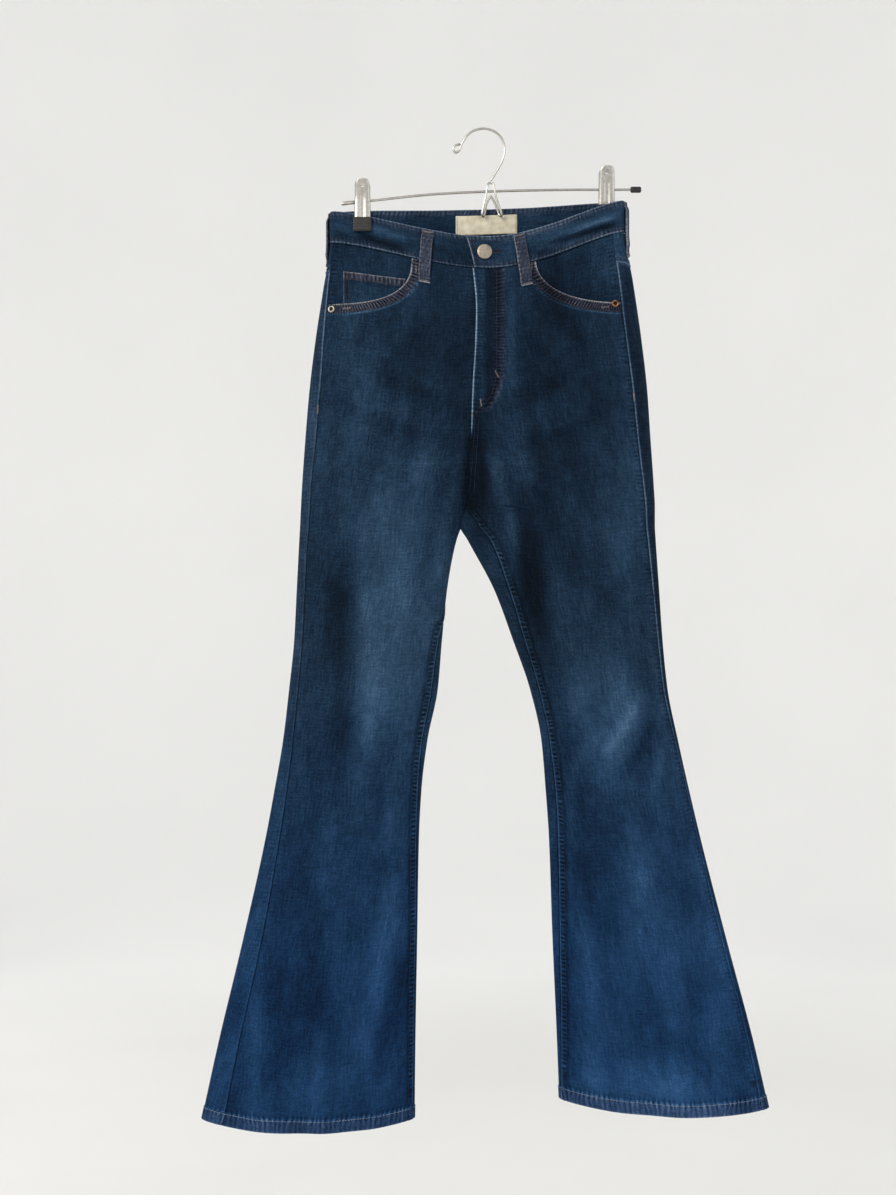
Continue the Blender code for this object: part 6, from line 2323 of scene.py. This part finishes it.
@dataclass
class ClipHanger(Maker):
    """A bent wire hook and saddle, a rod, and two sprung clips with moulded jaws."""

    hook_wire: float = 1.4
    rod_wire: float = 1.5
    jaw: tuple[float, float, float] = (22.0, 4.4, 16.5)
    length: float = 61.0
    plate_width: float = 17.0
    plate_wall: float = 1.1
    lip: float = 1.5
    hole: tuple[float, float] = (3.4, 2.6)
    hole_drop: float = 7.4

    def wires(self) -> None:
        """The hook, the saddle under it and the rod, as drawn wire."""
        hook = catmull([(x, 0.0, z) for x, z in HOOK_ROUTE], 200)
        rod = catmull([(x, 0.0, z) for x, z in ROD_ROUTE], 90)
        loop = [(x, y, z) for x, z, y in (*SADDLE_ROUTE, SADDLE_ROUTE[0])]
        saddle = tube(catmull(loop, 260)[:-1], self.hook_wire, 14, closed=True)
        self.solid("hook_wire", "steel", tube(hook, self.hook_wire, 16), "hanger_hook", sharp=80)
        self.solid("rod_wire", "steel", tube(rod, self.rod_wire, 16), "hanger_rod", sharp=80)
        self.solid("saddle_wire", "steel", saddle, "hanger_saddle", sharp=80)

    def tips(self) -> None:
        """The crimped steel end and the moulded cap on the rod."""
        for side, slot, start, end, r in (
                ("right", "steel", (-166.5, 0, -86.4), (-151.0, 0, -84.7), 2.3),
                ("left", "rubber", (171.5, 0, -70.0), (184.0, 0, -70.0), 3.6)):
            way = np.array(end) - np.array(start)
            length = float(np.linalg.norm(way))
            profile = [(0, length), (r * 0.45, length), (r * 0.75, length - r * 0.10),
                       (r * 0.93, length - r * 0.26), (r, length - r * 0.5), (r, length * 0.62),
                       (r * 0.95, length * 0.58), (r, length * 0.54), (r, r * 0.5),
                       (r * 0.93, r * 0.22), (r * 0.72, 0), (0, 0)]
            self.solid(f"rod_tip_{side}_end", slot, placed(turned(profile, 28), start, way),
                       f"rod_tip_{side}", sharp=60)

    def leaf(self, clip: ClipPlace, face: Face) -> Shape:
        """A pressed leaf: a rounded top with a hole, a channel down its lower half, and lips.

        Its half width is a quarter ellipse near the top; its depth comes from a smooth table
        past the rod to the jaw, less the lips and the channel.

        Args:
            clip: Where the clip grips.
            face: Which of its two leaves.

        Returns:
            Points and faces.
        """
        towards = -1.0 if face is Face.FRONT else 1.0
        bottom = clip.top - self.length + self.jaw[2] + FORM.seam_gap
        jaw_out = abs(clip.cloth[face]) + FORM.seam_gap + self.jaw[1] * 0.5 + self.plate_wall / 2
        down = np.append(np.linspace(0, 0.17, 15), np.linspace(0.185, 1.0, 46))[:, None]
        across = np.sin(np.linspace(-QUARTER, QUARTER, 41))
        rounding = np.sqrt(1 - (1 - np.clip(down / 0.16, 0, 1)) ** 2) * 0.62 + 0.38
        rod_share = (clip.top - clip.rod_height) / (clip.top - bottom)
        out = smooth_table(down, [0.0, rod_share, 1.0], [11.0, 6.4, jaw_out])
        x = clip.along + across * (self.plate_width / 2 * rounding * (1 + 0.12 * down))
        channel = 0.9 * smoothstep((down - 0.36) / 0.10) * smoothstep((0.34 - np.abs(across)) / 0.14)
        y = towards * (out - self.lip * np.abs(across) ** 7 - channel)
        z = np.broadcast_to(clip.top + (bottom - clip.top) * down, x.shape)
        points = np.stack([x, y, z], -1)
        way = unit(np.cross(np.gradient(points, axis=1), np.gradient(points, axis=0)))
        way = way * np.sign(way[..., 1:2] * towards)
        # Quads in the hole go, and grid points near its rim are drawn onto its ellipse.
        hole = np.array([clip.along, clip.top - self.hole_drop])
        middle = (points[:-1, :-1] + points[1:, 1:]) / 2
        keep = np.linalg.norm((middle[..., [0, 2]] - hole) / self.hole, axis=-1) > 1.0
        offset = points[..., [0, 2]] - hole
        reach = np.linalg.norm(offset / self.hole, axis=-1)[..., None]
        near = (reach > 0.72) & (reach < 1.30)
        points[..., [0, 2]] = hole + offset * np.where(near, 1.0 / np.maximum(reach, 1e-6), 1.0)
        return open_wall(points, way, keep, self.plate_wall)

    def shoe(self, clip: ClipPlace, face: Face) -> Shape:
        """A moulded jaw: rounded rectangles carried down, drawn in at both ends and grooved.

        Args:
            clip: Where the clip grips.
            face: The front or the back.

        Returns:
            Points and faces.
        """
        towards = -1.0 if face is Face.FRONT else 1.0
        width, depth, height = self.jaw
        ring_x, ring_y = (np.sign(value) * np.abs(value) ** (2 / 7.0) for value in circle(64))
        rise = np.linspace(0, height, 60)[:, None]
        end = np.clip(1 - np.minimum(rise, height - rise) / 1.4, 0, 1)
        inset = 1.4 * (1 - np.sqrt(1 - end**2))
        groove = 0.28 * bell((np.mod(rise, 3.3) - 1.65) / 0.42) * (end == 0)
        x = clip.along + ring_x * (width / 2 - inset - groove * 0.5)
        middle = clip.cloth[face] + towards * (FORM.seam_gap + depth / 2)
        y = ring_y * (depth / 2 - inset * 0.8 - groove) + middle
        z = np.broadcast_to(clip.top - self.length + rise, x.shape)
        ends = [(clip.along, middle, z[0, 0]), (clip.along, middle, z[-1, 0])]
        return lofted(np.stack([x, y, z], -1), ends, flip=True)

    def spring(self, clip: ClipPlace) -> Shape:
        """The spring: a helix of wire round the rod, with its two arms along the leaves.

        Args:
            clip: Where the clip grips.

        Returns:
            Points and faces.
        """
        turns, length, radius = 7.0, 12.0, 2.75
        along = np.linspace(0, 1, 240)
        angle = TURN * turns * along
        left, right = clip.along - length / 2, clip.along + length / 2
        helix = np.stack([left + length * along, radius * np.cos(angle),
                          clip.rod_height + radius * np.sin(angle)], -1)
        low, high = (3.4, clip.rod_height - 8.0), (3.0, clip.rod_height - 3.0)
        route = [[(left, *low), (left, *high)], helix, [(right, *high), (right, *low)]]
        return tube(np.concatenate(route), 0.7, 8)

    def build(self) -> None:
        """Makes the whole hanger."""
        self.wires()
        self.tips()
        for clip in CLIPS:
            for face in Face:
                name = f"clip_{clip.side}_{face.value}"
                self.solid(f"{name}_leaf", "steel", self.leaf(clip, face), f"{name}_plate", sharp=50)
                self.solid(f"{name}_shoe", "rubber", self.shoe(clip, face), f"{name}_jaw", sharp=60)
            self.solid(f"clip_{clip.side}_coil", "steel", self.spring(clip),
                       f"clip_{clip.side}_spring", sharp=80)


# ------------------------------------------------------------------ seams' stitching

def stitch_seams(hems: Stitching, brown: Stitching, dark: Stitching) -> None:
    """Topstitches the hems, the felled inseams, the yokes' seams and the centre back.

    Args:
        hems: The thread of the hems, one row above each fold.
        brown: The thread of the back, two rows over or beside each seam.
        dark: The thread of the inseams, one row on the front's side.
    """
    for half in HALVES.values():
        around = np.linspace(-np.pi, np.pi, 420)
        height = np.full(420, half.hem + FORM.hem_depth - 1.2)
        hems.add(half.line(around, height, 0.55), 3.4, 0.75)
    for half in HALVES.values():
        height = np.linspace(FORM.crotch - 6.0, half.hem + 18.0, 400)
        angle = half.moved(half.front_edge(height), height, -6.4)
        dark.add(half.line(angle, height, 0.5), 3.5, 0.6)
    share = np.linspace(0.0, 1.0, 140)
    for half in HALVES.values():
        for lift in (1.8, 6.2):
            height = BACK.yoke_seam(share) + lift
            start, end = half.back_edge(height), half.side_seam(height)
            brown.add(half.line(start + (end - start) * share, height, 0.5), 3.3, 0.75)
    height = np.linspace(-190.0, -425.0, 150)
    for away in (2.0, 6.4):
        angle = LEFT.moved(LEFT.back_edge(height), height, away)
        brown.add(LEFT.line(angle, height, 0.25), 3.3, 0.75)


def tack_seams(tacks: Stitching) -> None:
    """Bar tacks on the side seams below the pockets and at the ends of the pocket mouths.

    Args:
        tacks: The bar tacks' thread.
    """
    for half, z in ((RIGHT, -328.0), (LEFT, -314.0)):
        height = np.array([z, z - 1.0])
        points, normals = half.line(half.side_seam(height), height, 0.7)
        tacks.tack(points[0], points[1] - points[0], normals[0], 10.0)
    for side, half in HALVES.items():
        line = POCKETS[side].curve(6.0, 60)
        for share, way in ((0.10, (0, 0, 1)), (0.93, (1, 0, 0.1))):
            at = int(share * 59)
            place, out = half.on_front(line[at:at + 2], 0.8)
            tacks.tack(place[0], way, out[0], 9.0)


# ------------------------------------------------------------------ studio

@dataclass
class Studio(Maker):
    """A pale floor that curves up into a round wall, soft lamps and the camera, in metres."""

    floor: float = -1.72
    radius: float = 6.0
    cove: float = 1.6
    wall: float = 4.4
    sides: int = 96
    stands_back: float = 2.4
    half_view: float = 0.699

    def backdrop(self) -> None:
        """A profile of floor, cove and wall turned about the middle, faces inwards."""
        turn, flat = np.linspace(0.0, QUARTER, 18)[1:], self.radius - self.cove
        r = np.concatenate([np.linspace(0.02, flat, 12), flat + self.cove * np.sin(turn),
                            [self.radius, self.radius]])[:, None]
        z = np.concatenate([np.zeros(12), self.cove * (1 - np.cos(turn)),
                            [self.cove + 0.8, self.wall]])[:, None]
        around = np.linspace(0, TURN, self.sides, endpoint=False)
        z = np.broadcast_to(z, (len(r), self.sides)) + self.floor
        points = np.stack([r * np.cos(around), r * np.sin(around), z], -1).reshape(-1, 3)
        points = np.concatenate([points, [[0, 0, self.floor]]]) / MM
        faces = [grid_quads(len(r), self.sides, wrap=True),
                 fan(len(points) - 1, np.arange(self.sides))]
        add_mesh("studio_floor_and_wall", points, faces, self.finishes["plaster"])

    def lights(self) -> None:
        """A broad key from the upper left, a weaker fill, two lamps behind, and a pale world."""
        for name, place, size, watts, colour in (
                ("key_softbox", (-1.9, -2.6, 1.1), 1.2, 78.0, "#fffaf2"),
                ("fill_softbox", (2.4, -2.4, 0.1), 1.8, 12.0, "#f4f8ff"),
                ("back_left_softbox", (-2.4, 2.6, 0.8), 1.8, 46.0, "#fbfaf8"),
                ("back_right_softbox", (2.6, 2.2, 0.4), 1.8, 30.0, "#fbfaf8")):
            data = bpy.data.lights.new(name, "AREA")
            data.shape, data.size, data.energy = "SQUARE", size, watts
            data.color = linear(colour)[:3]
            lamp = bpy.data.objects.new(name, data)
            lamp.location = place
            way = Vector((-0.02, 0.0, -0.6)) - Vector(place)
            lamp.rotation_euler = way.to_track_quat("-Z", "Y").to_euler()
            bpy.context.scene.collection.objects.link(lamp)
        world = bpy.data.worlds.new("pale_room")
        world.use_nodes = True
        sky = world.node_tree.nodes["Background"].inputs
        sky["Color"].default_value = linear("#f3f3f1")
        sky["Strength"].default_value = 0.62
        bpy.context.scene.world = world
        bpy.context.scene.view_settings.view_transform = "Standard"

    def camera(self) -> None:
        """Level with the middle of the legs, in front of the jeans."""
        data = bpy.data.cameras.new("camera")
        data.sensor_width = 36.0
        data.lens = data.sensor_width / 2 * self.stands_back / self.half_view
        camera = bpy.data.objects.new("camera", data)
        camera.location = (-0.042, -self.stands_back, -0.547)
        camera.rotation_euler = Matrix.Rotation(QUARTER, 4, "X").to_euler()
        bpy.context.scene.collection.objects.link(camera)
        bpy.context.scene.camera = camera

    def build(self) -> None:
        """Sets up the studio."""
        self.backdrop()
        self.lights()
        self.camera()


# ------------------------------------------------------------------ the whole


def main() -> None:
    """Builds the studio, the jeans and the hanger, and sews every row in its own thread."""
    logging.basicConfig(level=logging.INFO, format="%(message)s")
    finishes = all_finishes()
    Studio(finishes).build()
    for side in HALVES:
        LegPanels(finishes, side).build()
    pockets, band, back_pockets, loops, label = parts = [
        kind(finishes) for kind in (FrontPockets, Waistband, BackPockets, BeltLoops, NeckLabel)]
    for part in (*parts, ZipFastener(finishes), Trims(finishes), ClipHanger(finishes)):
        part.build()
    hems, pale, brown, dark, tacks = threads = [Stitching(name, finish) for name, finish in (
        ("hem_stitches", "blue_thread"), ("pale_stitches", "pale_thread"),
        ("brown_stitches", "brown_thread"), ("dark_stitches", "navy_thread"),
        ("bar_tacks", "tack_thread"))]
    stitch_seams(hems, brown, dark)
    tack_seams(tacks)
    FLY.stitch(dark, tacks)
    pockets.stitch(brown)
    band.stitch(dark, brown)
    back_pockets.stitch(brown, tacks)
    loops.stitch(brown, tacks)
    label.stitch(pale)
    for thread in threads:
        label.solid(thread.name, "denim_trim", merged(thread.rows), finish=thread.finish)


if __name__ == "__main__":
    main()
